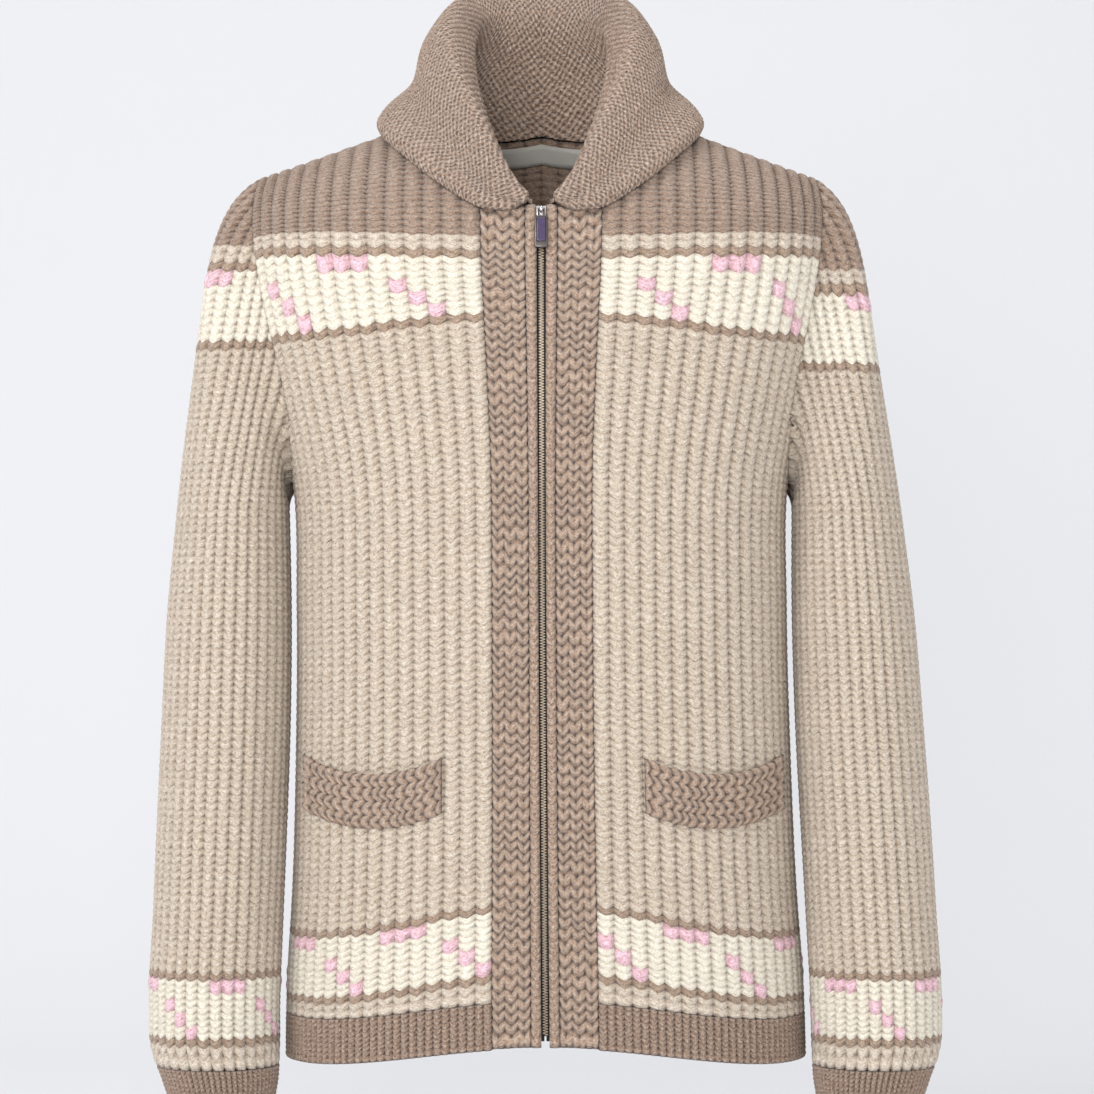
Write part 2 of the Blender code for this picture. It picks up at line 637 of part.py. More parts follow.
def make_pockets(knit, lining):
    across, down = np.meshgrid(np.linspace(0, 1, 13), np.linspace(0, 1, 4))
    place = pocket_place(across, down * WELT_HEIGHT)
    gape = WELT_GAPE * (1 - down) * np.sin(np.pi * across)
    stand = RIB + 3 * SEAM + WELT_WALL / 2 + gape
    welt = body_point(*place) + body_normal(*place) * stand[..., None]
    across, down = np.meshgrid(np.linspace(0.04, 0.96, 11), np.linspace(0.012, WELT_TOP_Z - BAG_BOTTOM_Z, 7))
    place = pocket_place(across, down)
    bag = body_point(*place) - body_normal(*place) * (KNIT + LINING_GAP + BAG_WALL / 2)
    for side, name in ((1, "left"), (-1, "right")):
        solid_sheet("pocket_welt_" + name, sided(welt, side), knit, WELT_WALL)
        solid_sheet("pocket_bag_" + name, sided(bag, side), lining, BAG_WALL)


def cut_pocket_mouths():
    """The slit in each front that the hand goes through, hidden behind the welt."""
    for side, name in ((1, "left"), (-1, "right")):
        inner, outer = WELT_INNER_X + MOUTH_INSET, WELT_OUTER_X - MOUTH_INSET
        bpy.ops.mesh.primitive_cube_add(size=1)
        cutter = bpy.context.object
        cutter.name = "cut_pocket_" + name
        cutter.scale = (outer - inner, 0.12, MOUTH_HEIGHT)
        middle = sided([(inner + outer) / 2, -0.095, WELT_TOP_Z - MOUTH_DROP], side)
        cutter.location = tuple(middle)
        bpy.ops.object.transform_apply(location=False, rotation=False, scale=True)
        for collection in cutter.users_collection:
            collection.objects.unlink(cutter)
        bpy.data.collections["cutters"].objects.link(cutter)
        cutter.hide_render = True
        cutter.display_type = "WIRE"
        cut = bpy.data.objects["front_" + name].modifiers.new("pocket mouth", "BOOLEAN")
        cut.object = cutter
        cut.operation = "DIFFERENCE"


def make_label(cloth):
    """A bare woven strip sewn inside the back neck."""
    x, down = np.meshgrid(np.linspace(-LABEL_WIDTH / 2, LABEL_WIDTH / 2, 13), np.linspace(0, 1, 3))
    q = 2 - q_at(np.abs(x))
    levels = [CHEST_Z + YOKE_RISE * YOKE_SHARES[1] + 0 * q, CHEST_Z + YOKE_RISE * neck_share(q)]
    depth = KNIT + LINING_GAP + LABEL_WALL / 2
    low, high = [body_point(q, g) - body_normal(q, g) * depth for g in levels]
    height = np.linalg.norm(high - low, axis=-1)
    share = 1 - (LABEL_DROP + down * LABEL_HEIGHT) / height
    rows = low + (high - low) * share[..., None]
    rows[..., 0] = np.abs(rows[..., 0]) * np.where(x >= 0, 1, -1)
    solid_sheet("neck_label", rows, cloth, LABEL_WALL)


def front_line(g, offset=0.0):
    """Points of the middle of the front at these places up it, moved out of the surface by offset."""
    g = np.asarray(g, float)
    q = 0.0 * g
    return sided(body_point(q, g) + body_normal(q, g) * offset, 1)


ZIP_TOP = CHEST_Z + YOKE_RISE * FRONT_NECK_SHARE - 0.0010
ZIP_BOTTOM = HEM_Z + 0.0040


def strip_down_front(name, xs, depth, thickness, finish, top, bottom):
    """A strip that follows the middle of the front, its middle this far behind the surface."""
    levels = [bottom] + [g for g in BAND_LEVELS if bottom + 0.005 < g < top - 0.005] + [top]
    line = front_line(levels, -depth)
    rows = line[:, None, :] + np.array([[x, 0.0, 0.0] for x in xs])[None]
    return solid_sheet(name, rows, finish, thickness)


def make_zip(tape, metal):
    depth = BAND_WALL + TAPE_CLEAR + TAPE_WALL / 2
    for side, name in ((1, "left"), (-1, "right")):
        xs = sorted([side * 0.0007, side * TAPE_WIDTH])
        strip_down_front("zip_tape_" + name, xs, depth, TAPE_WALL, tape, ZIP_TOP, ZIP_BOTTOM)
    depth = BAND_WALL - CHAIN_WALL / 2 - SEAM
    xs = [-CHAIN_HALF_WIDTH, CHAIN_HALF_WIDTH]
    top = ZIP_TOP - SLIDER_LENGTH
    strip_down_front("zip_chain", xs, depth, CHAIN_WALL, metal, top, ZIP_BOTTOM + 0.004)


def box_piece(size, place, bevel=0.0):
    """A box with rounded edges, as a bmesh around the zip's own origin."""
    made = bmesh.new()
    bmesh.ops.create_cube(made, size=1.0)
    bmesh.ops.scale(made, verts=made.verts, vec=size)
    if bevel:
        bmesh.ops.bevel(made, geom=made.edges, offset=bevel, segments=2, profile=0.5, affect="EDGES")
    bmesh.ops.translate(made, verts=made.verts, vec=place)
    return made


def local_object(name, made, finish, frame):
    obj = finished(name, made, finish, 1e-6)
    obj.matrix_world = frame
    return obj


def joined(base, others):
    """Boolean union of small pieces into one body, in the base's name."""
    for other in others:
        joint = base.modifiers.new("join", "BOOLEAN")
        joint.object = other
        joint.operation = "UNION"
    bpy.context.view_layer.update()
    graph = bpy.context.evaluated_depsgraph_get()
    data = bpy.data.meshes.new_from_object(base.evaluated_get(graph))
    base.modifiers.clear()
    base.data = data
    for other in others:
        bpy.data.objects.remove(other)
    return base


def slider_frame():
    """The slider's own axes: x across, z up along the zip, y into the wearer."""
    low, middle, high = front_line([ZIP_TOP - 2 * SLIDER_DROP, ZIP_TOP - SLIDER_DROP, ZIP_TOP])
    up = Vector(high - low).normalized()
    across = Vector((1.0, 0.0, 0.0))
    back = up.cross(across).normalized()
    frame = Matrix((across, back, up)).transposed().to_4x4()
    frame.translation = Vector(middle)
    return frame


def make_slider(metal, dark_metal, stone):
    """The slider with its bail, and the pull tab that swings on a pin under the bail."""
    frame = slider_frame()
    face = -SLIDER_PROUD
    seat = BAND_WALL + TAPE_CLEAR + TAPE_BOW - SEAM
    plate = local_object(
        "zip_slider",
        box_piece((SLIDER_WIDTH, SLIDER_WALL, SLIDER_LENGTH), (0, face + SLIDER_WALL / 2, 0), 0.0004),
        metal,
        frame,
    )
    hole = 2 * (PIN_RADIUS + PIN_PLAY)
    low_z = BAIL_TOP - 2 * BAIL_POST - hole
    post = (BAIL_WIDTH, BAIL_RISE, BAIL_POST)
    post_y = face + SLIDER_WALL / 4 - BAIL_RISE / 2
    bridge = (BAIL_WIDTH, BAIL_BRIDGE, BAIL_TOP - low_z)
    neck_face = face + SLIDER_WALL / 2
    neck = (NECK_SIZE, seat - neck_face, NECK_SIZE)
    pieces = [
        box_piece(post, (0, post_y, BAIL_TOP - BAIL_POST / 2)),
        box_piece(post, (0, post_y, low_z + BAIL_POST / 2)),
        box_piece(bridge, (0, face - BAIL_RISE + BAIL_BRIDGE / 2, (BAIL_TOP + low_z) / 2)),
        box_piece(neck, (0, (seat + neck_face) / 2, NECK_SIZE / 2), 0.0003),
    ]
    joined(plate, [local_object("slider_piece", piece, metal, frame) for piece in pieces])
    pin_z = BAIL_TOP - BAIL_POST - hole / 2
    pin_y = face - PIN_PLAY - PIN_RADIUS
    high, low = front_line([ZIP_TOP - SLIDER_DROP, ZIP_TOP - SLIDER_DROP - ARM_REACH - TAB_LENGTH])
    hang = Vector(high - low).normalized()
    turn = math.acos(min(hang.dot(frame.to_3x3() @ Vector((0, 0, 1))), 1.0))
    swing = Matrix.Rotation(turn - PULL_LEAN, 4, "X")
    make_pull(frame @ Matrix.Translation((0, pin_y, pin_z)) @ swing, dark_metal, stone)


def make_pull(frame, dark_metal, stone):
    """A pin and two arms, a rectangular frame and the stone set in it; the origin is on the pin."""
    half_span = BAIL_WIDTH / 2 + PIN_PLAY + ARM_WIDTH / 2
    pin = bmesh.new()
    bmesh.ops.create_cone(
        pin,
        segments=12,
        radius1=PIN_RADIUS,
        radius2=PIN_RADIUS,
        depth=2 * half_span + ARM_WIDTH,
        cap_ends=True,
        matrix=Matrix.Rotation(math.pi / 2, 4, "Y"),
    )
    slope = math.atan2(ARM_OUT, ARM_REACH)
    length = math.hypot(ARM_REACH, ARM_OUT) + 2 * PIN_RADIUS
    pieces = []
    for side in (-1, 1):
        arm = box_piece((ARM_WIDTH, ARM_DEPTH, length), (0, 0, PIN_RADIUS - length / 2), 0.0003)
        turn = Matrix.Rotation(-slope, 4, "X")
        bmesh.ops.transform(arm, matrix=Matrix.Translation((side * half_span, 0, 0)) @ turn, verts=arm.verts)
        pieces.append(arm)
    middle = PIN_RADIUS - ARM_REACH - TAB_LENGTH / 2
    tab_y = -ARM_OUT - TAB_WALL / 6
    pieces.append(box_piece((TAB_WIDTH, TAB_WALL, TAB_LENGTH), (0, tab_y, middle), 0.0004))
    pull = local_object("zip_pull", pin, dark_metal, frame)
    joined(pull, [local_object("pull_piece", piece, dark_metal, frame) for piece in pieces])
    face_y = tab_y - TAB_WALL / 2
    opening = (TAB_WIDTH - 2 * TAB_RIM, TAB_LENGTH - TAB_ENDS)
    stone_z = middle + TAB_END_SHIFT
    seat_piece = box_piece((opening[0], 2 * STONE_SEAT, opening[1]), (0, face_y, stone_z))
    cutter = local_object("cut_stone_seat", seat_piece, dark_metal, frame)
    cutter.hide_render = True
    cutter.display_type = "WIRE"
    bpy.data.collections["cardigan"].objects.unlink(cutter)
    bpy.data.collections["cutters"].objects.link(cutter)
    seat = pull.modifiers.new("stone seat", "BOOLEAN")
    seat.object = cutter
    seat.operation = "DIFFERENCE"
    size = (opening[0] - 2 * SEAM, STONE_WALL, opening[1] - 2 * SEAM)
    stone_y = face_y + STONE_SEAT - SEAM - STONE_WALL / 2
    stone_piece = box_piece(size, (0, stone_y, stone_z), 0.0003)
    local_object("zip_pull_stone", stone_piece, stone, frame)


def main():
    for obj in list(bpy.data.objects):
        bpy.data.objects.remove(obj)
    for name in ("cardigan", "cutters"):
        collection = bpy.data.collections.new(name)
        bpy.context.scene.collection.children.link(collection)
    beige = material("beige_knit", BEIGE)
    brown = material("brown_knit", BROWN)
    make_fronts(beige, brown)
    make_back(beige, brown)
    make_sleeves(beige, brown)
    make_collar(brown)
    make_bands(brown)
    make_pockets(brown, beige)
    cut_pocket_mouths()
    make_label(material("label_cloth", LABEL_CLOTH))
    silver = material("silver_metal", SILVER)
    make_zip(material("zip_tape", TAPE_CLOTH), silver)
    make_slider(silver, material("gunmetal", GUNMETAL), material("purple_stone", PURPLE))


main()
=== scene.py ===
import math

import bmesh
import bpy
import numpy as np
from mathutils import Matrix, Vector


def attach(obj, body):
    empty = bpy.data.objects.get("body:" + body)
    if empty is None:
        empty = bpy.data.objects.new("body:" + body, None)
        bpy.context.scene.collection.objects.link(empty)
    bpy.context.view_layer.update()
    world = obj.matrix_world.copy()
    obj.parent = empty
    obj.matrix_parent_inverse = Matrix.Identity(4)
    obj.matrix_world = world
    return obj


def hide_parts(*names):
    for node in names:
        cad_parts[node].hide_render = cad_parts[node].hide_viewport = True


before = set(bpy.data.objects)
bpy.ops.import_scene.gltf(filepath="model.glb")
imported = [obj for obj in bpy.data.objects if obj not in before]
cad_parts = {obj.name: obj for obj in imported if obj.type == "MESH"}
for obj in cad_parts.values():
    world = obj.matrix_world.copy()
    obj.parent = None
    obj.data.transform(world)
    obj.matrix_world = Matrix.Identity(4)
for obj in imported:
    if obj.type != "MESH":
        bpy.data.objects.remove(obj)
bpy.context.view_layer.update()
print("frame loaded")

# Wall of the knit, how far the ribs stand out of it, and the gap between pieces at a seam
knit = 0.0042
rib = 0.0020
seam = 0.0003

# Heights of the panels, measured at the side seam
hemZ = -0.661
hemTopZ = -0.6294
underarmZ = -0.250
chestZ = -0.100
yokeRise = 0.150

# Neck and shoulders
neckHalfWidth = 0.098
neckPointZ = 0.003
shoulderHalfWidth = 0.200
shoulderZ = -0.034
ridgeY = 0.003
frontNeckShare = 0.22
backNeckShare = 0.50

# Ribs counted round the garment
frontRibs = 18
backRibs = 44
sleeveRibs = 32

# Front bands beside the zip
bandOuterX = 0.0420
bandInnerX = 0.0032
bandWall = 0.0050

# The torso by height: half width at the side seams, depth of the front and depth of the back
torso = [
    {"z": -0.670, "halfWidth": 0.1850, "front": 0.116, "back": 0.119},
    {"z": -0.610, "halfWidth": 0.1835, "front": 0.119, "back": 0.116},
    {"z": -0.540, "halfWidth": 0.1790, "front": 0.119, "back": 0.110},
    {"z": -0.440, "halfWidth": 0.1755, "front": 0.117, "back": 0.103},
    {"z": -0.340, "halfWidth": 0.1740, "front": 0.118, "back": 0.102},
    {"z": -0.250, "halfWidth": 0.1760, "front": 0.121, "back": 0.109},
    {"z": -0.190, "halfWidth": 0.1880, "front": 0.121, "back": 0.115},
    {"z": -0.100, "halfWidth": 0.2080, "front": 0.115, "back": 0.117},
    {"z": -0.090, "halfWidth": 0.2095, "front": 0.114, "back": 0.117},
]
squareness = 2.4

# How far the front hem, stripes and yoke are drawn up towards the zip
frontLift = [
    {"z": -0.661, "lift": 0.016},
    {"z": -0.600, "lift": 0.018},
    {"z": -0.400, "lift": 0.014},
    {"z": -0.155, "lift": 0.013},
    {"z": -0.100, "lift": 0.006},
]
liftReach = 0.75

# How the garment hangs a little to one side: all of it, and more where it is widest
lean = [
    {"z": -0.670, "whole": 0.0032, "wide": 0.0000},
    {"z": -0.500, "whole": 0.0018, "wide": 0.0000},
    {"z": -0.300, "whole": 0.0006, "wide": -0.0015},
    {"z": -0.100, "whole": 0.0000, "wide": -0.0040},
    {"z": 0.120, "whole": 0.0000, "wide": -0.0020},
]

# The armhole: how far round the body it cuts in, and how high its round bottom reaches
armholeCut = 0.20
armholeRound = 0.075
capDent = 0.007

# The sleeve below the underarm: its outer and inner sides, middle from front to back, half depth
sleeve = [
    {"z": -0.726, "outer": 0.2600, "inner": 0.1990, "middle": -0.042, "halfDepth": 0.039},
    {"z": -0.698, "outer": 0.2635, "inner": 0.1965, "middle": -0.041, "halfDepth": 0.041},
    {"z": -0.675, "outer": 0.2706, "inner": 0.1925, "middle": -0.040, "halfDepth": 0.046},
    {"z": -0.655, "outer": 0.2780, "inner": 0.1915, "middle": -0.038, "halfDepth": 0.051},
    {"z": -0.620, "outer": 0.2800, "inner": 0.1910, "middle": -0.036, "halfDepth": 0.054},
    {"z": -0.560, "outer": 0.2772, "inner": 0.1885, "middle": -0.031, "halfDepth": 0.056},
    {"z": -0.500, "outer": 0.2745, "inner": 0.1858, "middle": -0.026, "halfDepth": 0.058},
    {"z": -0.430, "outer": 0.2707, "inner": 0.1830, "middle": -0.020, "halfDepth": 0.060},
    {"z": -0.343, "outer": 0.2653, "inner": 0.1815, "middle": -0.014, "halfDepth": 0.062},
    {"z": -0.270, "outer": 0.2577, "inner": 0.1825, "middle": -0.008, "halfDepth": 0.064},
]
sleeveTopZ = -0.270
cuffTopZ = -0.664
cuffZ = -0.726

# The collar by section, from the middle of the back (0) to the zip (1): the middle of its roll, the
# roll's radius, the way the roll faces in degrees, and where the free edge lies: how far out, and how
# far up the front yoke and over the shoulder (1) down the back (2)
collarWall = 0.0048
collar = [
    {"at": 0.00, "roll": (0.0000, 0.084, 0.098), "radius": 0.0140, "faces": 90, "edge": (0.000, 1.64)},
    {"at": 0.16, "roll": (0.0360, 0.077, 0.096), "radius": 0.0145, "faces": 66, "edge": (0.060, 1.61)},
    {"at": 0.32, "roll": (0.0595, 0.052, 0.086), "radius": 0.0160, "faces": 36, "edge": (0.102, 1.40)},
    {"at": 0.46, "roll": (0.0665, 0.012, 0.065), "radius": 0.0165, "faces": 6, "edge": (0.1125, 1.03)},
    {"at": 0.59, "roll": (0.0625, -0.026, 0.038), "radius": 0.0150, "faces": -14, "edge": (0.108, 0.70)},
    {"at": 0.71, "roll": (0.0515, -0.056, 0.010), "radius": 0.0125, "faces": -30, "edge": (0.085, 0.44)},
    {"at": 0.82, "roll": (0.0380, -0.080, -0.016), "radius": 0.0095, "faces": -48, "edge": (0.060, 0.28)},
    {"at": 0.91, "roll": (0.0240, -0.0965, -0.0410), "radius": 0.0065, "faces": -62, "edge": (0.042, 0.205)},
    {"at": 1.00, "roll": (0.0105, -0.1045, -0.0560), "radius": 0.0045, "faces": -75, "edge": (0.022, 0.185)},
]
neckBackPart = 0.42
collarFrontX = 0.0060

# Pocket welts: how far along the front they run and the sag of their middle, and the lining bag
weltInnerX = 0.070
weltOuterX = 0.168
weltTopZ = -0.4433
weltHeight = 0.0385
weltSag = 0.0120
weltWall = 0.0040
weltGape = 0.0016
bagWall = 0.0015
bagBottomZ = -0.605
liningGap = 0.0010

# Neck label
labelWidth = 0.076
labelHeight = 0.0175
labelWall = 0.0008
labelDrop = 0.0012


# The cubic from start to end that leaves and arrives with these tangents.
def hermite(start, end, leave, arrive, t):
    return (
        (1 + 2 * t) * (1 - t) ** 2 * start
        + t * (1 - t) ** 2 * leave
        + t * t * (3 - 2 * t) * end
        - t * t * (1 - t) * arrive
    )


# A smooth curve through one column of a table, level past the table's ends.
def smooth(table, key, column):
    xs = np.array([row[key] for row in table], float)
    ys = np.array([row[column] for row in table], float)
    slopes = np.gradient(ys, xs, axis=0)

    def read(at):
        at = np.clip(np.asarray(at, float), xs[0], xs[-1])
        k = np.clip(np.searchsorted(xs, at) - 1, 0, len(xs) - 2)
        width = xs[k + 1] - xs[k]
        t = (at - xs[k]) / width
        if ys.ndim > 1:
            width, t = width[..., None], t[..., None]
        return hermite(ys[k], ys[k + 1], slopes[k] * width, slopes[k + 1] * width, t)

    return read


torsoWidth = smooth(torso, "z", "halfWidth")
torsoFront = smooth(torso, "z", "front")
torsoBack = smooth(torso, "z", "back")
drawnUp = smooth(frontLift, "z", "lift")
leanWhole = smooth(lean, "z", "whole")
leanWide = smooth(lean, "z", "wide")
sleeveOuter = smooth(sleeve, "z", "outer")
sleeveInner = smooth(sleeve, "z", "inner")
sleeveMiddle = smooth(sleeve, "z", "middle")
sleeveDepth = smooth(sleeve, "z", "halfDepth")
collarRoll = smooth(collar, "at", "roll")
collarRadius = smooth(collar, "at", "radius")
collarFaces = smooth(collar, "at", "faces")
collarEdge = smooth(collar, "at", "edge")


def unit(v):
    return v / np.maximum(np.linalg.norm(v, axis=-1, keepdims=True), 1e-12)


# A quarter of the torso's ring from its middle to the side seam: the share of its length at each
# angle, and its length.
def evenAngles():
    angle = np.linspace(0.0, math.pi / 2, 400)
    power = 2 / squareness
    x = 0.180 * np.sin(angle) ** power
    y = 0.118 * np.cos(angle) ** power
    length = np.concatenate([[0.0], np.cumsum(np.hypot(np.diff(x), np.diff(y)))])
    return length / length[-1], angle, length[-1]


ringShare, ringAngle, quarter = evenAngles()


# Places of the torso's ring at height z: q is 0 at the front, 1 at the side seam, 2 at the back.
def ring(q, z):
    q, z = np.broadcast_arrays(np.asarray(q, float), np.asarray(z, float))
    back = q > 1
    share = np.clip(np.where(back, 2 - q, q), 0.0, 1.0)
    angle = np.interp(share, ringShare, ringAngle)
    power = 2 / squareness
    x = torsoWidth(z) * np.sin(angle) ** power
    depth = np.where(back, torsoBack(z), -torsoFront(z))
    y = depth * np.maximum(np.cos(angle), 0.0) ** power
    return np.stack([x, y, z], axis=-1)


# How far round the front or back a place this far from the middle is, at the chest.
def qAt(x):
    shares = ringShare[::4]
    return np.interp(x, ring(shares, chestZ)[..., 0], shares)


# How far the front is drawn up at this place.
def lifted(q, z):
    near = 0.5 * (1 + np.cos(np.pi * np.clip(np.asarray(q) / liftReach, 0, 1)))
    return drawnUp(z) * near


# The garment surface on the wearer's left. g is the height up to the chest, then the way along the
# yoke, up and over to the shoulder seam at chestZ + yokeRise.
def bodyPoint(q, g):
    q, g = np.broadcast_arrays(np.asarray(q, float), np.asarray(g, float))
    back = (q > 1)[..., None]
    up = np.array([0.0, 0.0, 1.0])
    low = np.minimum(g, chestZ)
    below = ring(q, low) + up * lifted(q, low)[..., None] * ~back
    t = np.clip((g - chestZ) / yokeRise, 0.0, 1.0)[..., None]
    flat = ring(q, chestZ)
    start = flat + up * lifted(q, chestZ)[..., None] * ~back
    step = 0.004
    leave = (flat - ring(q, chestZ - step)) / step * yokeRise
    outward = np.minimum(flat[..., :1] / shoulderHalfWidth, 1.0)
    leave = leave * np.where(back, 1.9 - 0.6 * outward, 1.0)
    x = np.minimum(flat[..., :1], shoulderHalfWidth + 0.004)
    fall = (neckPointZ - shoulderZ) / (shoulderHalfWidth - neckHalfWidth)
    end = np.concatenate([x, x * 0 + ridgeY, neckPointZ - (x - neckHalfWidth) * fall], axis=-1)
    arriveY = np.where(back, -0.16 + 0.05 * outward, 0.12)
    arrive = np.concatenate([x * 0, arriveY, x * 0], axis=-1)
    yoke = hermite(start, end, leave, arrive, t)
    return np.where((g <= chestZ)[..., None], below, yoke)


# How far from the side seam the armhole lies at this height.
def armhole(g):
    rise = np.clip((np.asarray(g, float) - underarmZ) / armholeRound, 0.0, 1.0)
    return armholeCut * np.sqrt(1 - (1 - rise) ** 2)


# The share of the yoke, from chest to shoulder seam, that lies below the neckline.
def neckShare(q):
    q = np.asarray(q, float)
    x = np.minimum(ring(q, chestZ)[..., 0] / neckHalfWidth, 1.0)
    front = 1 - (1 - frontNeckShare) * (1 - x**3) ** 0.45
    back = 1 - (1 - backNeckShare) * (1 - x**2) ** 0.5
    return np.where(q > 1, back, front)


# The places on a panel nearest to (q, g): inside its armhole and below its neckline.
def onPanel(q, g):
    cut = armhole(g)
    q = np.where(q <= 1, np.minimum(q, 1 - cut), np.maximum(q, 1 + cut))
    return q, np.minimum(g, chestZ + yokeRise * neckShare(q))


# The surface's outward normals, from neighbouring places.
def normals(surface, u, v, du=0.004, dv=0.002):
    across = surface(u + du, v) - surface(u - du, v)
    up = surface(u, v + dv) - surface(u, v - dv)
    return unit(np.cross(across, up))


# Outward normals of the garment surface on the wearer's left, squared up at the seams.
def bodyNormal(q, g):
    q, g = np.broadcast_arrays(np.asarray(q, float), np.asarray(g, float))
    top = chestZ + yokeRise
    safe = np.where(q > 1, np.clip(q, 1.005, 1.995), np.clip(q, 0.005, 0.995))
    n = normals(bodyPoint, safe, np.minimum(g, top - 0.0021))
    middle = (q < 0.0005) | (q > 1.9995)
    atSeam = (np.abs(q - 1) < 0.003) | (g > top - 0.002)
    n = np.stack([np.where(middle, 0.0, n[..., 0]), np.where(atSeam, 0.0, n[..., 1]), n[..., 2]], axis=-1)
    return unit(n)


# Points of the wearer's left moved to one side (+1 left, -1 right), with the garment's lean.
def sided(points, side):
    points = np.array(points, float)
    wide = np.clip(np.abs(points[..., 0]) / 0.24, 0.0, 1.2) ** 2
    points[..., 0] *= side
    points[..., 0] += leanWhole(points[..., 2]) + leanWide(points[..., 2]) * wide
    return points


# Triangles between two rows of vertices, the second with fewer steps.
def fan(fine, coarse, closed):
    fine = list(fine) + [fine[0]] * closed
    coarse = list(coarse) + [coarse[0]] * closed
    ratio = (len(fine) - 1) // (len(coarse) - 1)
    faces = []
    for k in range(len(coarse) - 1):
        stretch = fine[k * ratio : (k + 1) * ratio + 1]
        half = (ratio + 1) // 2
        for j in range(ratio):
            faces.append((stretch[j], stretch[j + 1], coarse[k] if j < half else coarse[k + 1]))
        faces.append((coarse[k], coarse[k + 1], stretch[half]))
    return faces


# The armhole's edge from the shoulder down the front to the underarm and up the back, set a little
# inside the hole: the share of its length, its points and the panels' normals.
def armholeLine():
    levels = underarmZ + (chestZ + yokeRise - seam - underarmZ) * np.linspace(1, 0, 80) ** 2
    g = np.concatenate([levels, levels[-2::-1]])
    cut = armhole(g)
    q = np.where(np.arange(len(g)) < len(levels), 1 - cut, 1 + cut)
    points, facing = bodyPoint(q, g), bodyNormal(q, g)
    step = np.linalg.norm(np.diff(points, axis=0), axis=1)
    share = np.concatenate([[0.0], np.cumsum(step)]) / step.sum()
    tangent = unit(np.gradient(points, share, axis=0))
    inward = unit(np.cross(tangent, facing))
    centre = points[len(levels) - 1] + np.array([0.02, 0.0, 0.09])
    inward *= np.sign(((centre - points) * inward).sum(axis=1))[:, None]
    return share, points + inward * 0.0006, facing


armShare, armPoints, armNormals = armholeLine()


def armholeAt(share, values):
    return np.stack([np.interp(share, armShare, values[:, k]) for k in range(3)], axis=-1)


# The sleeve below the underarm: share is 0 at the outside, then front, inside, back.
def tubePoint(share, z):
    angle = 2 * np.pi * share
    outer, inner = sleeveOuter(z), sleeveInner(z)
    x = (outer + inner) / 2 + (outer - inner) / 2 * np.cos(angle)
    y = sleeveMiddle(z) - sleeveDepth(z) * np.sin(angle)
    return np.stack([x, y, z + 0 * x], axis=-1)


# The sleeve: v from 0 at the armhole to 1 below the underarm, then on to 2 at the cuff's end.
def sleevePoint(share, v):
    share, v = np.broadcast_arrays(np.asarray(share, float) % 1.0, np.asarray(v, float))
    tube = tubePoint(share, sleeveTopZ + np.clip(v - 1, 0, 1) * (cuffZ - sleeveTopZ))
    start, end = armholeAt(share, armPoints), tubePoint(share, sleeveTopZ + 0 * share)
    crown = 0.5 * (1 + np.cos(2 * np.pi * share))
    zero = crown * 0
    leave = np.stack([0.045 + 0.125 * crown**1.3, zero, 0.030 - 0.130 * crown], axis=-1)
    arrive = np.stack([0.030 * crown, zero, -0.030 - 0.220 * crown], axis=-1)
    t = np.clip(v, 0, 1)
    cap = hermite(start, end, leave, arrive, t[..., None])
    cap = cap - np.stack([capDent * crown**2 * np.sin(np.pi * t) ** 2, zero, zero], axis=-1)
    return np.where((v >= 1)[..., None], tube, cap)


def sleeveNormal(share, v):
    share, v = np.broadcast_arrays(np.asarray(share, float), np.asarray(v, float))
    n = normals(sleevePoint, share, np.maximum(v, 0.0021))
    return np.where((v < 1e-6)[..., None], armholeAt(share % 1.0, armNormals), n)


# The place on the body of the neckline, share 0 at the middle of the back and 1 at the zip.
def neckPlace(share):
    share = np.asarray(share, float)
    backX = neckHalfWidth * np.sin(np.clip(share / neckBackPart, 0, 1) * np.pi / 2)
    turn = np.clip((1 - share) / (1 - neckBackPart), 0, 1)
    frontX = collarFrontX + (neckHalfWidth - collarFrontX) * np.sin(turn * np.pi / 2)
    q = np.where(share < neckBackPart, 2 - qAt(backX), qAt(frontX))
    return q, chestZ + yokeRise * neckShare(q)


# The place on the yoke this far out, going up the front (to 1) and down the back (to 2).
def yokePlace(x, over):
    q = qAt(x)
    behind = over > 1
    return np.where(behind, 2 - q, q), chestZ + yokeRise * np.where(behind, 2 - over, over)


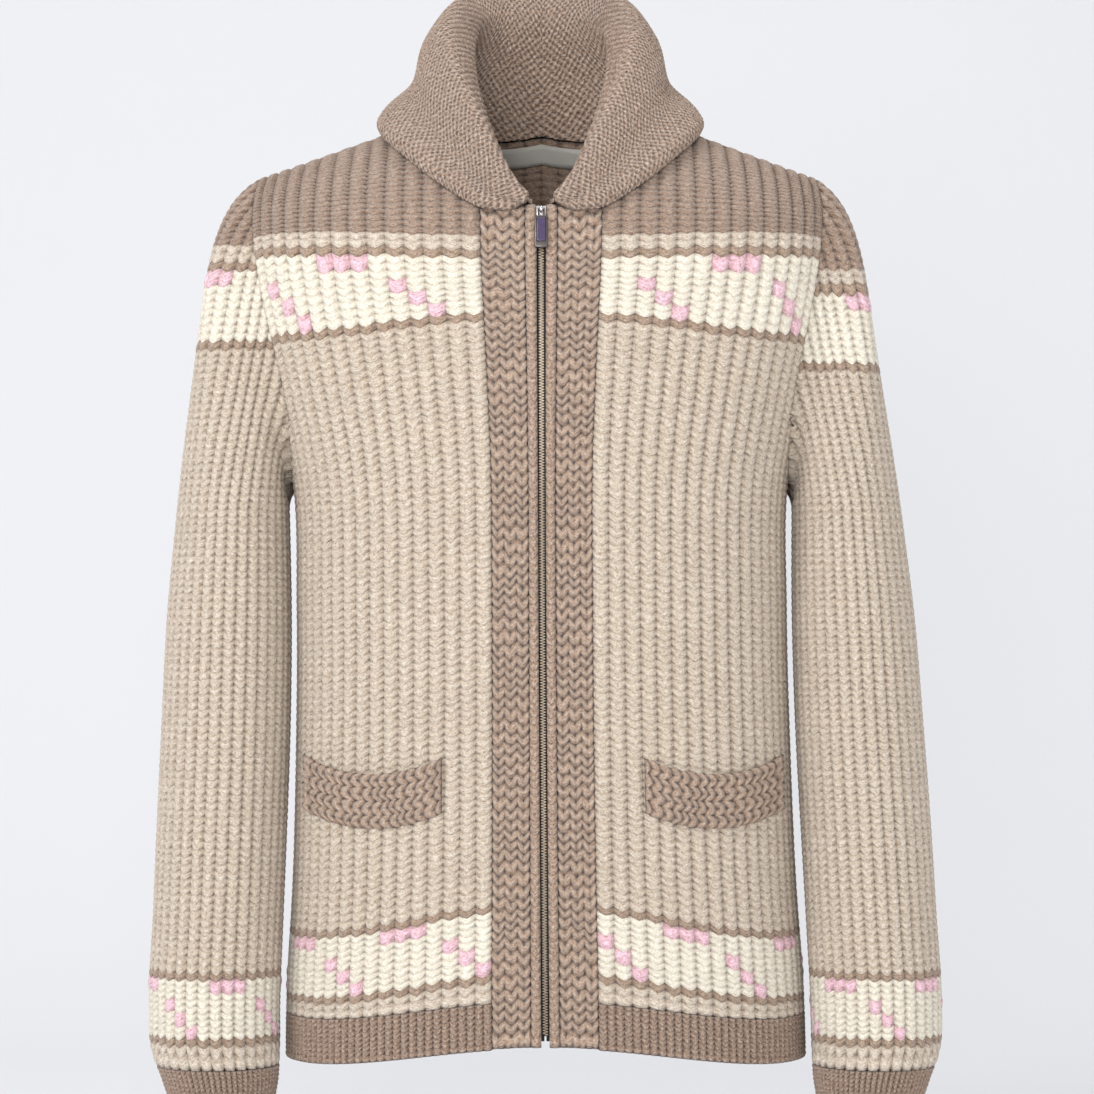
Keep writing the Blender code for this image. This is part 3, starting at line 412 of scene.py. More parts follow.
# Points across the collar at each share of the neck: seam, stand, roll, fall and free edge.
def collarSections(shares, across):
    up = np.array([0.0, 0.0, 1.0])
    roll, radius, edgeAt = collarRoll(shares), collarRadius(shares)[:, None], collarEdge(shares)
    turn = np.radians(collarFaces(shares))
    out = np.stack([np.cos(turn), np.sin(turn), turn * 0], axis=-1)
    p, n = bodyPoint(*neckPlace(shares)), bodyNormal(*neckPlace(shares))
    ahead, behind = np.clip(shares + 0.01, 0, 1), np.clip(shares - 0.01, 0, 1)
    run = unit(bodyPoint(*neckPlace(ahead)) - bodyPoint(*neckPlace(behind)))
    inward = unit(np.cross(run, n))
    inward *= np.sign(((np.array([0.0, -0.01, 0.02]) - p) * inward).sum(axis=1))[:, None]
    start = p + inward * (4 * seam + collarWall / 2) - n * knit * 0.5
    edgePlace = yokePlace(edgeAt[:, 0], edgeAt[:, 1])
    lift = rib + 3 * seam + collarWall / 2
    edge = bodyPoint(*edgePlace) + bodyNormal(*edgePlace) * lift
    innerSide, outerSide = roll - out * radius, roll + out * radius
    drop = np.linalg.norm(edge - outerSide, axis=-1, keepdims=True)
    hollow = np.sin(np.pi * shares)[:, None] ** 0.6
    high = outerSide + (edge - outerSide) * 0.42 - (out + up * 0.4) * 0.07 * drop * hollow
    low = outerSide + (edge - outerSide) * 0.80 + (out + up * 0.4) * 0.045 * drop
    crest = roll + up * radius
    guides = np.stack([start, (start + innerSide) / 2, innerSide, crest, outerSide, high, low, edge])
    rows = []
    for section in range(len(shares)):
        line = guides[:, section]
        space = np.concatenate([[0.0], np.cumsum(np.linalg.norm(np.diff(line, axis=0), axis=1))])
        table = [{"s": s, "p": tuple(q)} for s, q in zip(space, line)]
        rows.append(smooth(table, "s", "p")(np.interp(across, np.arange(8), space)))
    return np.array(rows)


# A place on the front for the pocket: across from its inner end, and down from its top edge.
def pocketPlace(across, down):
    x = weltInnerX + (weltOuterX - weltInnerX) * across
    shares = ringShare[::4]
    q = np.interp(x, ring(shares, weltTopZ)[..., 0], shares)
    z = weltTopZ - weltSag * np.sin(np.pi * across) ** 0.8 - down
    return q, z - lifted(q, z)


# Points of the middle of the front at these places up it, moved out of the surface by offset.
def frontLine(g, offset=0.0):
    g = np.asarray(g, float)
    q = 0.0 * g
    return sided(bodyPoint(q, g) + bodyNormal(q, g) * offset, 1)


zipTop = chestZ + yokeRise * frontNeckShare - 0.0010
zipBottom = hemZ + 0.0040


# The yarns, as seen in full light
def linear(red, green, blue):
    channels = np.array([red, green, blue]) / 255
    return np.where(channels > 0.04045, ((channels + 0.055) / 1.055) ** 2.4, channels / 12.92)


yarns = {
    "brown": linear(151, 127, 109),
    "dark": linear(156, 133, 113),
    "beige": linear(196, 181, 163),
    "light": linear(198, 184, 167),
    "cream": linear(225, 217, 200),
    "pink": linear(217, 178, 188),
    "collar": linear(175, 151, 133),
    "braid": linear(176, 151, 131),
    "edge": linear(161, 137, 118),
}

# Where the yarns change, counted in courses up from the hem or the cuff, and how high those courses
# lie: on the body beside the zip and at the side seam, on the sleeves on the wearer's right and left
bodyStripes = [
    {"course": 0, "zip": -0.6294, "side": -0.6294, "yarn": "light"},
    {"course": 2, "zip": -0.6165, "side": -0.6204, "yarn": "dark"},
    {"course": 3, "zip": -0.6105, "side": -0.6154, "yarn": "cream"},
    {"course": 12, "zip": -0.5675, "side": -0.5739, "yarn": "dark"},
    {"course": 13, "zip": -0.5627, "side": -0.5689, "yarn": "beige"},
    {"course": 89, "zip": -0.1517, "side": -0.1530, "yarn": "dark"},
    {"course": 90, "zip": -0.1456, "side": -0.1473, "yarn": "cream"},
    {"course": 99, "zip": -0.1040, "side": -0.0927, "yarn": "dark"},
    {"course": 100, "zip": -0.0985, "side": -0.0860, "yarn": "light"},
    {"course": 102, "zip": -0.0883, "side": -0.0742, "yarn": "brown"},
    {"course": 131, "zip": 0.0500, "side": 0.0500, "yarn": "brown"},
]
sleeveStripes = [
    {"course": 0, "right": -0.6640, "left": -0.6640, "yarn": "light"},
    {"course": 2, "right": -0.6485, "left": -0.6485, "yarn": "dark"},
    {"course": 3, "right": -0.6428, "left": -0.6428, "yarn": "cream"},
    {"course": 12, "right": -0.6017, "left": -0.6017, "yarn": "dark"},
    {"course": 13, "right": -0.5967, "left": -0.5967, "yarn": "beige"},
    {"course": 94, "right": -0.1583, "left": -0.1739, "yarn": "dark"},
    {"course": 95, "right": -0.1519, "left": -0.1675, "yarn": "cream", "slant": False},
    {"course": 104, "right": -0.1016, "left": -0.1193, "yarn": "dark"},
    {"course": 105, "right": -0.0960, "left": -0.1108, "yarn": "light"},
    {"course": 107, "right": -0.0838, "left": -0.1016, "yarn": "brown"},
    {"course": 119, "right": -0.0280, "left": -0.0280, "yarn": "brown"},
]

# The pink stitches, repeated every eight ribs: how far below the top of a cream band each one hangs.
# A slanting row of three, a plain rib, three level at the top and a plain rib
motif = [3, 5, 7, None, 0, 0, 0, None]


# The pink stitches, worked over two courses each: the lower course of the stitch at each place, or -1.
# first is the rib where the motif starts in each cream band, and way is -1 where the slanting row
# climbs as the ribs are counted.
def pinkBase(rib, course, stripes, firsts, way):
    starts = [row["course"] for row in stripes]
    found = np.searchsorted(starts, course, side="right") - 1
    base = np.full(np.shape(course), -1)
    bands = [k for k, row in enumerate(stripes) if row["yarn"] == "cream"]
    for band, first in zip(bands, firsts):
        below = starts[band + 1] - 1 - course
        place = (rib - first) % 8
        for k, drop in enumerate(motif):
            if drop is not None and (k > 3 or stripes[band].get("slant", True)):
                at = 2 - k if way < 0 and k < 3 else k
                high = (below >= drop) & (below <= drop + 1)
                chosen = (found == band) & (rib >= first) & (place == at) & high
                base = np.where(chosen, course - 1 + below - drop, base)
    return base


# The yarn of each stitch.
def stitchYarn(rib, course, stripes, firsts, way):
    starts = [row["course"] for row in stripes]
    found = np.searchsorted(starts, course, side="right") - 1
    table = np.array([yarns[row["yarn"]] for row in stripes])
    colour = table[np.clip(found, 0, len(table) - 1)]
    pink = pinkBase(rib, course, stripes, firsts, way) >= 0
    return np.where(pink[:, None], yarns["pink"], colour)


# How each kind of knitting is worked: mesh steps to a rib and to a course, how far a stitch's legs
# rise from its middle to the groove beside it, in courses, and the relief in metres
gauges = {
    "chunky": {"across": 6, "up": 3, "slant": 0.55, "ridge": 0.0023, "leg": 0.00036, "pit": 0.0005,
               "plait": 0, "uneven": 0.5},
    "plain": {"across": 4, "up": 2, "slant": 0.55, "ridge": 0.0022, "leg": 0.00036, "pit": 0.0003,
              "plait": 0, "uneven": 0.5},
    "close": {"across": 4, "up": 2, "slant": 0.60, "ridge": 0.0022, "leg": 0.00035, "pit": 0.0002,
              "plait": 0, "uneven": 0.6},
    "braid": {"across": 8, "up": 4, "slant": 0.54, "ridge": 0.0001, "leg": 0.00100, "pit": 0.0006,
              "plait": 0.0009, "uneven": 1.2},
    "cord": {"across": 8, "up": 2, "slant": 0.55, "ridge": 0.0022, "leg": 0.00045, "pit": 0.0002,
             "plait": 0, "uneven": 0.8},
}
tallRise = 0.0005  # how far the pink stitches stand out
handKnit = np.random.default_rng(11).random((200, 120))  # how evenly each stitch was drawn up


# How far the face stands out at each place of a stitch
def relief(u, v, gauge):
    f = u % 1
    tension = handKnit[np.floor(v).astype(int) % 200, np.floor(2 * u).astype(int) % 120]
    arch = np.sin(np.pi * np.clip(f, 0, 1))
    legs = -np.cos(2 * np.pi * v) * (1 + gauge["uneven"] * (tension - 0.5))
    apex = np.clip(1 - np.abs(f - 0.5) * gauge["across"], 0, 1)
    edge = np.clip(1 - np.minimum(f, 1 - f) * gauge["across"], 0, 1)
    return (
        gauge["ridge"] * arch**0.5
        + gauge["leg"] * legs * (0.45 + 0.55 * arch)
        + gauge["plait"] * ((2 * f) % 1 - 0.5)
        - gauge["pit"] * apex * 0.5
        - gauge["pit"] * edge * (1 - 0.5 * legs)
    )


# Stitches lie a little unevenly: how far each place is shifted, in courses.
def unevenly(u, v, gauge):
    slow = np.sin(1.9 * u + 2.3 * np.sin(0.61 * v))
    slower = np.sin(0.83 * v + 1.3 * np.sin(0.47 * u))
    return gauge["uneven"] * 0.13 * (slow + slower)


# A wall of knitting. place(u, v) gives the points of its face, the way they face and where stitches
# stand out, with u in ribs and v in courses; the back of the wall is plainer.
def knitWall(name, place, ribs, courses, gauge, thickness, colourOf, closed=False, side=1, tallOf=None):
    across, up = gauge["across"], gauge["up"]
    wide = ribs * across + (0 if closed else 1)
    tall = courses * up + 1
    u, v = np.meshgrid(np.arange(wide) / across, np.arange(tall) / up)
    away = np.abs(2 * (u % 1) - 1) ** 1.25
    fade = np.clip(np.minimum(v, courses - v), 0, 1)
    points, facing, free = place(u, v + (gauge["slant"] * away + unevenly(u, v, gauge)) * fade)
    ribAt = np.clip(np.floor(u + 1e-6), 0, ribs - 1).astype(int)
    courseAt = np.clip(np.floor(v + 1e-6), 0, courses - 1).astype(int)
    base = tallOf(ribAt, courseAt) if tallOf else np.full(u.shape, -1)
    atV = np.where(base >= 0, (v - base) / 2, v)
    rise = relief(u, atV, gauge) + tallRise * (base >= 0) * np.sin(np.pi * (u % 1))
    outer = sided(points + facing * (rise * free)[..., None], side)
    inner = sided((points - facing * thickness)[::up, ::across], side)
    index = np.arange(wide * tall).reshape(tall, wide)
    coarse = wide * tall + np.arange(inner.shape[0] * inner.shape[1]).reshape(inner.shape[:2])
    perVertex = np.concatenate([
        np.stack([u, v], axis=-1).reshape(-1, 2),
        np.stack([u, v], axis=-1)[::up, ::across].reshape(-1, 2),
    ])
    faces, corners = [], []
    for grid, step in ((index, 1), (coarse, across)):
        right = np.roll(grid, -1, axis=1) if closed else grid[:, 1:]
        left = grid if closed else grid[:, :-1]
        low, high = left[:-1], left[1:]
        lowRight, highRight = right[:-1], right[1:]
        quads = np.stack([low, lowRight, highRight, high], axis=-1).reshape(-1, 4)
        uv = perVertex[quads]
        over = uv[:, 1:3, 0] < uv[:, :1, 0]  # the last column of a tube meets the first
        uv[:, 1:3, 0] += over * ribs
        faces += quads.tolist()
        corners.append(uv.reshape(-1, 2))
    rims = []
    for row in (0, -1):
        rims += fan(index[row].tolist(), coarse[row].tolist(), closed)
    if not closed:
        for column in (0, -1):
            rims += fan(index[:, column].tolist(), coarse[:, column].tolist(), False)
    corners.append(perVertex[np.array(rims).reshape(-1)])
    uv = np.concatenate(corners)
    data = bpy.data.meshes.new(name)
    vertices = np.concatenate([outer.reshape(-1, 3), inner.reshape(-1, 3)])
    data.from_pydata(vertices.tolist(), [], faces + rims)
    counts = [4] * len(faces) + [3] * len(rims)
    starts = np.concatenate([[0], np.cumsum(counts)[:-1]])
    middles = np.add.reduceat(uv, starts, axis=0) / np.array(counts)[:, None]
    rib = np.clip(np.floor(middles[:, 0]), 0, ribs - 1).astype(int)
    course = np.clip(np.floor(middles[:, 1]), 0, courses - 1).astype(int)
    if tallOf:
        base = np.repeat(tallOf(rib, course), counts)
        uv[:, 1] = np.where(base >= 0, (uv[:, 1] - base) / 2, uv[:, 1])
    data.uv_layers.new(name="stitches").data.foreach_set("uv", uv.astype(np.float32).reshape(-1))
    colour = np.repeat(colourOf(rib, course), counts, axis=0)
    rgba = np.concatenate([colour, np.ones((len(colour), 1))], axis=1)
    layer = data.color_attributes.new(name="yarn", type="FLOAT_COLOR", domain="CORNER")
    layer.data.foreach_set("color", rgba.astype(np.float32).reshape(-1))
    return sewn(name, data)


def inScene(name, data):
    made = bpy.data.objects.new(name, data)
    bpy.context.scene.collection.objects.link(made)
    return made


# A mesh welded where its edges meet, faced outward and put in the scene.
def sewn(name, data):
    made = bmesh.new()
    made.from_mesh(data)
    bmesh.ops.remove_doubles(made, verts=made.verts, dist=2e-6)
    flat = [face for face in made.faces if face.calc_area() < 1e-12]
    bmesh.ops.dissolve_degenerate(made, dist=1e-6, edges=list({e for f in flat for e in f.edges}))
    bmesh.ops.recalc_face_normals(made, faces=made.faces)
    if made.calc_volume(signed=True) < 0:
        bmesh.ops.reverse_faces(made, faces=made.faces)
    made.to_mesh(data)
    made.free()
    data.shade_smooth()
    return inScene(name, data)


# Small helpers for the materials' nodes
def add(tree, kind, **settings):
    made = tree.nodes.new(kind)
    for key, value in settings.items():
        setattr(made, key, value)
    return made


def calc(tree, operation, *values):
    made = add(tree, "ShaderNodeMath", operation=operation)
    for socket, value in zip(made.inputs, values):
        if isinstance(value, (int, float)):
            socket.default_value = value
        else:
            tree.links.new(value, socket)
    return made.outputs[0]


def blended(tree, share, first, second):
    made = add(tree, "ShaderNodeMix", data_type="RGBA")
    for socket, value in zip((made.inputs[0], made.inputs[6], made.inputs[7]), (share, first, second)):
        if isinstance(value, tuple):
            socket.default_value = (*value, 1.0)
        elif isinstance(value, float):
            socket.default_value = value
        else:
            tree.links.new(value, socket)
    return made.outputs[2]


def noise(tree, vector, scale, detail=2.0):
    made = add(tree, "ShaderNodeTexNoise")
    made.inputs["Scale"].default_value = scale
    made.inputs["Detail"].default_value = detail
    tree.links.new(vector, made.inputs["Vector"])
    return made.outputs[0]


def startMaterial(name, roughness):
    made = bpy.data.materials.new(name)
    made.use_nodes = True
    shader = made.node_tree.nodes["Principled BSDF"]
    shader.inputs["Roughness"].default_value = roughness
    return made, made.node_tree, shader


def stretched(tree, u, v, alongU, alongV):
    made = add(tree, "ShaderNodeCombineXYZ")
    tree.links.new(calc(tree, "MULTIPLY", u, alongU), made.inputs[0])
    tree.links.new(calc(tree, "MULTIPLY", v, alongV), made.inputs[1])
    return made.outputs[0]


# A value between 0 and 1 turned into a swing of this size around nothing
def swing(tree, value, amount):
    return calc(tree, "MULTIPLY", calc(tree, "SUBTRACT", value, 0.5), amount)


# The sine or cosine of a place, in turns
def wave(tree, operation, value, turns):
    return calc(tree, operation, calc(tree, "MULTIPLY", value, turns * math.pi))


def raised(tree, shader, height, distance):
    bump = add(tree, "ShaderNodeBump")
    bump.inputs["Strength"].default_value = 1.0
    bump.inputs["Distance"].default_value = distance
    tree.links.new(height, bump.inputs["Height"])
    tree.links.new(bump.outputs[0], shader.inputs["Normal"])


# Wool: the yarn's colour, flecked with lighter and darker fibres, more so in the dark yarn, with painted shade
# that darkens the creases between stitches, and with the legs of each stitch and its strands raised.
def woolMaterial(name, kind, depth, shade, fleck, streaks):
    made, tree, shader = startMaterial(name, 0.95)
    uv = add(tree, "ShaderNodeUVMap", uv_map="stitches")
    parts = add(tree, "ShaderNodeSeparateXYZ")
    tree.links.new(uv.outputs[0], parts.inputs[0])
    u, v = parts.outputs[0], parts.outputs[1]
    place = add(tree, "ShaderNodeTexCoord").outputs["Object"]
    wander = noise(tree, place, 260.0, 1.0)
    upDown, sideways = (0.60, 0.45) if kind == "moss" else (0.30, 0.16)
    v = calc(tree, "ADD", v, swing(tree, wander, upDown))
    u = calc(tree, "ADD", u, swing(tree, wander, sideways))
    if kind == "moss":
        waves = calc(tree, "MULTIPLY", wave(tree, "COSINE", u, 2), wave(tree, "COSINE", v, 2))
        form = calc(tree, "POWER", calc(tree, "MULTIPLY_ADD", waves, 0.5, 0.5), 0.7)
        strands = noise(tree, stretched(tree, u, v, 2.0, streaks), 1.0, 3.0)
    else:
        legs = calc(tree, "POWER", calc(tree, "ABSOLUTE", wave(tree, "SINE", v, 1)), 0.7)
        turns = 2 if kind == "braid" else 1  # a braid's strand turns twice in each column
        groove = calc(tree, "POWER", calc(tree, "ABSOLUTE", wave(tree, "SINE", u, turns)), 0.5)
        rowDepth, ribDepth = (0.62, 0.06) if kind == "braid" else (0.32, 0.42)
        creases = [calc(tree, "SUBTRACT", 1.0, value) for value in (legs, groove)]
        form = calc(tree, "MULTIPLY_ADD", legs, rowDepth, 1.0 - rowDepth)
        form = calc(tree, "ADD", form, calc(tree, "MULTIPLY_ADD", groove, ribDepth, -ribDepth))
        form = calc(tree, "SUBTRACT", form, calc(tree, "MULTIPLY", calc(tree, "MULTIPLY", *creases), 0.8))
        strands = noise(tree, stretched(tree, u, v, 3.0, streaks), 1.0, 3.0)
    fibres = noise(tree, place, 800.0, 4.0)
    height = calc(tree, "ADD", form, calc(tree, "MULTIPLY", strands, 0.55))
    height = calc(tree, "ADD", height, calc(tree, "MULTIPLY", fibres, 0.35))
    raised(tree, shader, height, depth)
    yarn = add(tree, "ShaderNodeAttribute", attribute_name="yarn").outputs["Color"]
    grey = add(tree, "ShaderNodeRGBToBW")
    tree.links.new(yarn, grey.inputs[0])
    # Painted shade: the colour is darkened where the stitch's form sinks, in the creases and pits between
    # stitches, more so in dark yarn; shade sets how much, and the crowns are lifted a little above the yarn's
    # colour
    depthOfTone = calc(tree, "SUBTRACT", 1.05, grey.outputs[0])
    darkest = calc(tree, "MULTIPLY_ADD", depthOfTone, 1.5, 0.2)
    dark = calc(tree, "MULTIPLY", calc(tree, "SUBTRACT", 1.0, form), darkest)
    light = calc(tree, "MULTIPLY_ADD", dark, -shade, 1.05)
    flecks = calc(tree, "ADD", swing(tree, fibres, fleck * 3.0), swing(tree, strands, fleck * 3.2))
    flecks = calc(tree, "MULTIPLY", flecks, depthOfTone)
    patches = swing(tree, noise(tree, place, 28.0), 0.12)
    # The painted shade multiplied by the fibres' own flecks and patches of tone
    tone = calc(tree, "MULTIPLY", light, calc(tree, "ADD", calc(tree, "ADD", flecks, patches), 1.0))
    tone = calc(tree, "MAXIMUM", tone, 0.05)
    warmShadeTint = add(tree, "ShaderNodeCombineXYZ")  # painted shade: the hollows between stitches are painted darker and warmer, the brightest places cooler
    for channel, power in enumerate((0.8, 1.0, 1.2)):
        tree.links.new(calc(tree, "POWER", tone, power), warmShadeTint.inputs[channel])
    scaled = add(tree, "ShaderNodeVectorMath", operation="MULTIPLY")
    tree.links.new(yarn, scaled.inputs[0])
    tree.links.new(warmShadeTint.outputs[0], scaled.inputs[1])
    tree.links.new(scaled.outputs[0], shader.inputs["Base Color"])
    shader.inputs["Sheen Weight"].default_value = 0.3
    shader.inputs["Sheen Roughness"].default_value = 0.7
    shader.inputs["Specular IOR Level"].default_value = 0.1
    return made


# shade is how strongly painted shade darkens the creases between stitches
wools = {
    "chunky rib": {"kind": "rib", "depth": 0.0020, "shade": 0.52, "fleck": 0.9, "streaks": 7.0},
    "close rib": {"kind": "rib", "depth": 0.0016, "shade": 0.70, "fleck": 1.0, "streaks": 4.0},
    "braid stitch": {"kind": "braid", "depth": 0.0030, "shade": 0.80, "fleck": 0.9, "streaks": 8.0},
    "band edge": {"kind": "rib", "depth": 0.0018, "shade": 0.60, "fleck": 1.0, "streaks": 4.0},
    "moss stitch": {"kind": "moss", "depth": 0.0024, "shade": 0.70, "fleck": 1.2, "streaks": 4.0},
}
chunkyWool, closeWool, braidWool, edgeWool, mossWool = [
    woolMaterial("cardigan " + name, **wool) for name, wool in wools.items()
]


# The yarn of each stitch of a piece in one yarn, or in stripes with pink stitches, and which of them
# are tall
def plainYarn(yarn):
    return lambda rib, course: np.broadcast_to(yarns[yarn], (len(rib), 3)).copy()


def striped(stripes, firsts, way):
    return lambda rib, course: stitchYarn(rib, course, stripes, firsts, way)


def tallIn(stripes, firsts, way):
    return lambda rib, course: pinkBase(rib, course, stripes, firsts, way)


def dress(piece, slot, body, replaced, *materials):
    for made in materials:
        piece.data.materials.append(made)
    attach(piece, body)
    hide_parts(*replaced)
    return piece


drawn = 0.0001  # half the gap that is left where two knitted pieces are sewn


# How high a course lies on the body: drawn up beside the zip, level towards the side seam
def bodyLevel(q, v):
    at = [row["course"] for row in bodyStripes]
    near = np.where(q <= 1, 0.5 * (1 + np.cos(np.pi * np.clip(q / liftReach, 0, 1))), 0)
    zipG = np.interp(v, at, [row["zip"] for row in bodyStripes])
    sideG = np.interp(v, at, [row["side"] for row in bodyStripes])
    return near * zipG + (1 - near) * sideG


# A body panel's stitches: q from start to end of the panel, courses up from the hem's seam.
def panelPlace(startQ, endQ, ribs):
    def place(u, v):
        q = startQ + (endQ - startQ) * u / ribs
        g = np.clip(bodyLevel(q, v), hemTopZ + drawn, chestZ + yokeRise - drawn)
        atQ, atG = onPanel(q, g)
        free = (np.abs(atQ - q) < 1e-9) & (np.abs(atG - g) < 1e-9)
        return bodyPoint(atQ, atG), bodyNormal(atQ, atG), free
    return place


def hemPlace(startQ, endQ, ribs, courses):
    def place(u, v):
        q = startQ + (endQ - startQ) * u / ribs
        g = hemZ + (hemTopZ - drawn - hemZ) * v / courses
        return bodyPoint(q, g), bodyNormal(q, g), np.ones_like(q)
    return place


front = {"courses": 131, "hemCourses": 9, "flat": (0.28, 0.76), "hemFlat": (0.25, 0.036)}
frontStart = float(qAt(bandOuterX))
frontEnd = 1 - seam / quarter
for side, name in ((1, "left"), (-1, "right")):
    pattern = bodyStripes, (0, 2), side
    panel = knitWall("front_" + name + "_knit", panelPlace(frontStart, frontEnd, frontRibs), frontRibs,
                     front["courses"], gauges["chunky"], knit, striped(*pattern), side=side,
                     tallOf=tallIn(*pattern))
    dress(panel, "beige_knit", "cardigan", ["front_" + name], chunkyWool)
    hemAt = hemPlace(frontStart, frontEnd, 2 * frontRibs, front["hemCourses"])
    hemEdge = knitWall("hem_front_" + name + "_knit", hemAt, 2 * frontRibs, front["hemCourses"],
                       gauges["close"], knit * 0.9, plainYarn("brown"), side=side)
    dress(hemEdge, "rib_knit", "cardigan", ["hem_front_" + name], closeWool)
print("fronts knitted")


# The back is one panel: its ribs run from one side seam over the middle to the other
def backWall(name, levelOf, courses, ribs, gauge, thickness, colourOf, tallOf=None):
    half = ribs // 2

    def place(u, v):
        right = u > half
        q = 1 + seam / quarter + (1 - seam / quarter) * np.where(right, 2 * half - u, u) / half
        g = levelOf(q, v)
        atQ, atG = onPanel(q, g)
        free = (np.abs(atQ - q) < 1e-9) & (np.abs(atG - g) < 1e-9)
        points, facing = bodyPoint(atQ, atG), bodyNormal(atQ, atG)
        mirror = np.stack([np.where(right, -1.0, 1.0), np.ones_like(u), np.ones_like(u)], axis=-1)
        return points * mirror, facing * mirror, free

    return knitWall(name, place, ribs, courses, gauge, thickness, colourOf, tallOf=tallOf)


back = {"courses": 131, "hemCourses": 9, "flat": (0.60, 0.76), "hemFlat": (0.55, 0.036)}
panel = backWall(
    "back_knit",
    lambda q, v: np.clip(bodyLevel(q, v), hemTopZ + drawn, chestZ + yokeRise - drawn),
    back["courses"], backRibs, gauges["plain"], knit,
    striped(bodyStripes, (2, 4), 1), tallIn(bodyStripes, (2, 4), 1),
)
dress(panel, "beige_knit", "cardigan", ["back"], chunkyWool)
hemEdge = backWall(
    "hem_back_knit",
    lambda q, v: hemZ + (hemTopZ - drawn - hemZ) * v / back["hemCourses"] + 0 * q,
    back["hemCourses"], 2 * backRibs, gauges["close"], knit * 0.9, plainYarn("brown"),
)
dress(hemEdge, "rib_knit", "cardigan", ["hem_back"], closeWool)
print("back knitted")


# The sleeves: courses are level all the way round, so each rib finds its own way down
sleeves = {"courses": 119, "cuffCourses": 20, "flat": (0.36, 0.62), "cuffFlat": (0.27, 0.064)}
cuffV = 1 + (cuffTopZ - sleeveTopZ) / (cuffZ - sleeveTopZ)
seamV = seam / (sleeveTopZ - cuffZ)


# Above the underarm the ribs keep their distance from the sleeve's outer line and end where they meet
# the armhole's seam. For one half of the sleeve (+1 front, -1 back): the levels, the share of each rib
# at each level, the share of the seam there, and how far down the cap each share reaches each level.
def capTable(half):
    shares = np.linspace(0, 0.5, 161)
    vs = np.linspace(0, 1, 161)
    path = sleevePoint(half * shares[:, None], vs[None])
    falling = np.minimum.accumulate(path[..., 2], axis=1) - np.arange(len(vs)) * 1e-9
    levels = np.linspace(sleeveTopZ, falling[0, 0], 181)
    reach = np.array([np.interp(-levels, -row, vs) for row in falling])
    seamZ = np.minimum.accumulate(falling[:, 0])
    counted = np.linspace(0, sleeveRibs / 2, 12 * sleeveRibs + 1)
    rows, ends, full = [], [], None
    for k, level in enumerate(levels):
        line = sleevePoint(half * shares, reach[:, k])
        end = float(np.interp(-level, -seamZ + np.arange(len(shares)) * 1e-9, shares))
        walked = np.concatenate([[0.0], np.cumsum(np.linalg.norm(np.diff(line, axis=0), axis=1))])
        full = walked if full is None else full
        length = float(np.interp(end, shares, walked))
        stretch = max(1.0, length / full[-1])
        wanted = np.interp(counted / sleeveRibs, shares, full) * stretch
        rows.append(np.minimum(np.interp(wanted, walked, shares), end))
        ends.append(end)
    return {"levels": levels, "shares": shares, "ribs": np.array(rows), "ends": np.array(ends), "reach": reach.T}


# Reads a table between its rows and columns.
def between(table, row, column):
    row = np.clip(row, 0, table.shape[0] - 1.001)
    column = np.clip(column, 0, table.shape[1] - 1.001)
    r, c = row.astype(int), column.astype(int)
    a, b = row - r, column - c
    return ((1 - a) * ((1 - b) * table[r, c] + b * table[r, c + 1])
            + a * ((1 - b) * table[r + 1, c] + b * table[r + 1, c + 1]))


caps = {1: capTable(1), -1: capTable(-1)}


def sleevePlace(name):
    def place(u, v):
        z = np.interp(v, [row["course"] for row in sleeveStripes], [row[name] for row in sleeveStripes])
        tubeAt = 1 + (sleeveTopZ - z) / (sleeveTopZ - cuffZ)
        share, at, free = u / sleeveRibs, np.minimum(tubeAt, cuffV - seamV), np.ones(u.shape, bool)
        for half, cap in caps.items():
            counted = u if half > 0 else sleeveRibs - u
            bottom, top = cap["levels"][0], cap["levels"][-1]
            level = (z - bottom) / (top - bottom) * (len(cap["levels"]) - 1)
            ends = np.interp(level, np.arange(len(cap["ends"])), cap["ends"])
            near = np.minimum(between(cap["ribs"], level, counted * 24), ends)
            down = between(cap["reach"], level, near / 0.5 * (len(cap["shares"]) - 1))
            cut = near > ends - 1e-5
            onHalf = counted <= sleeveRibs / 2 if half > 0 else counted < sleeveRibs / 2
            inside = (z > sleeveTopZ) & onHalf
            share = np.where(inside, (half * near) % 1.0, share)
            at = np.where(inside, np.where(cut, 0.0, down), at)
            free = free & ~(inside & cut)
        return sleevePoint(share, at), sleeveNormal(share, at), free
    return place


def cuffPlace(u, v):
    share = u / (2 * sleeveRibs)
    at = 2.0 + (cuffV + seamV - 2.0) * v / sleeves["cuffCourses"]
    return sleevePoint(share, at), sleeveNormal(share, at), np.ones_like(at)


for side, name in ((1, "left"), (-1, "right")):
    pattern = sleeveStripes, ((-2, -2) if side > 0 else (-4, -2)), -side
    tube = knitWall("sleeve_" + name + "_knit", sleevePlace(name), sleeveRibs, sleeves["courses"],
                    gauges["chunky"], knit, striped(*pattern), closed=True, side=side,
                    tallOf=tallIn(*pattern))
    dress(tube, "beige_knit", "cardigan", ["sleeve_" + name], chunkyWool)
    cuff = knitWall("cuff_" + name + "_knit", cuffPlace, 2 * sleeveRibs, sleeves["cuffCourses"],
                    gauges["close"], knit * 0.9, plainYarn("brown"), closed=True, side=side)
    dress(cuff, "rib_knit", "cardigan", ["cuff_" + name], closeWool)
print("sleeves knitted")


# The front bands: a braid with a plain rolled edge beside the zip
band = {"columns": 3, "courses": 76, "edgeCourses": 106, "edgeX": 0.0112, "foot": 0.0005, "top": 0.0004,
        "flat": (0.032, 0.62), "edgeFlat": (0.010, 0.62)}


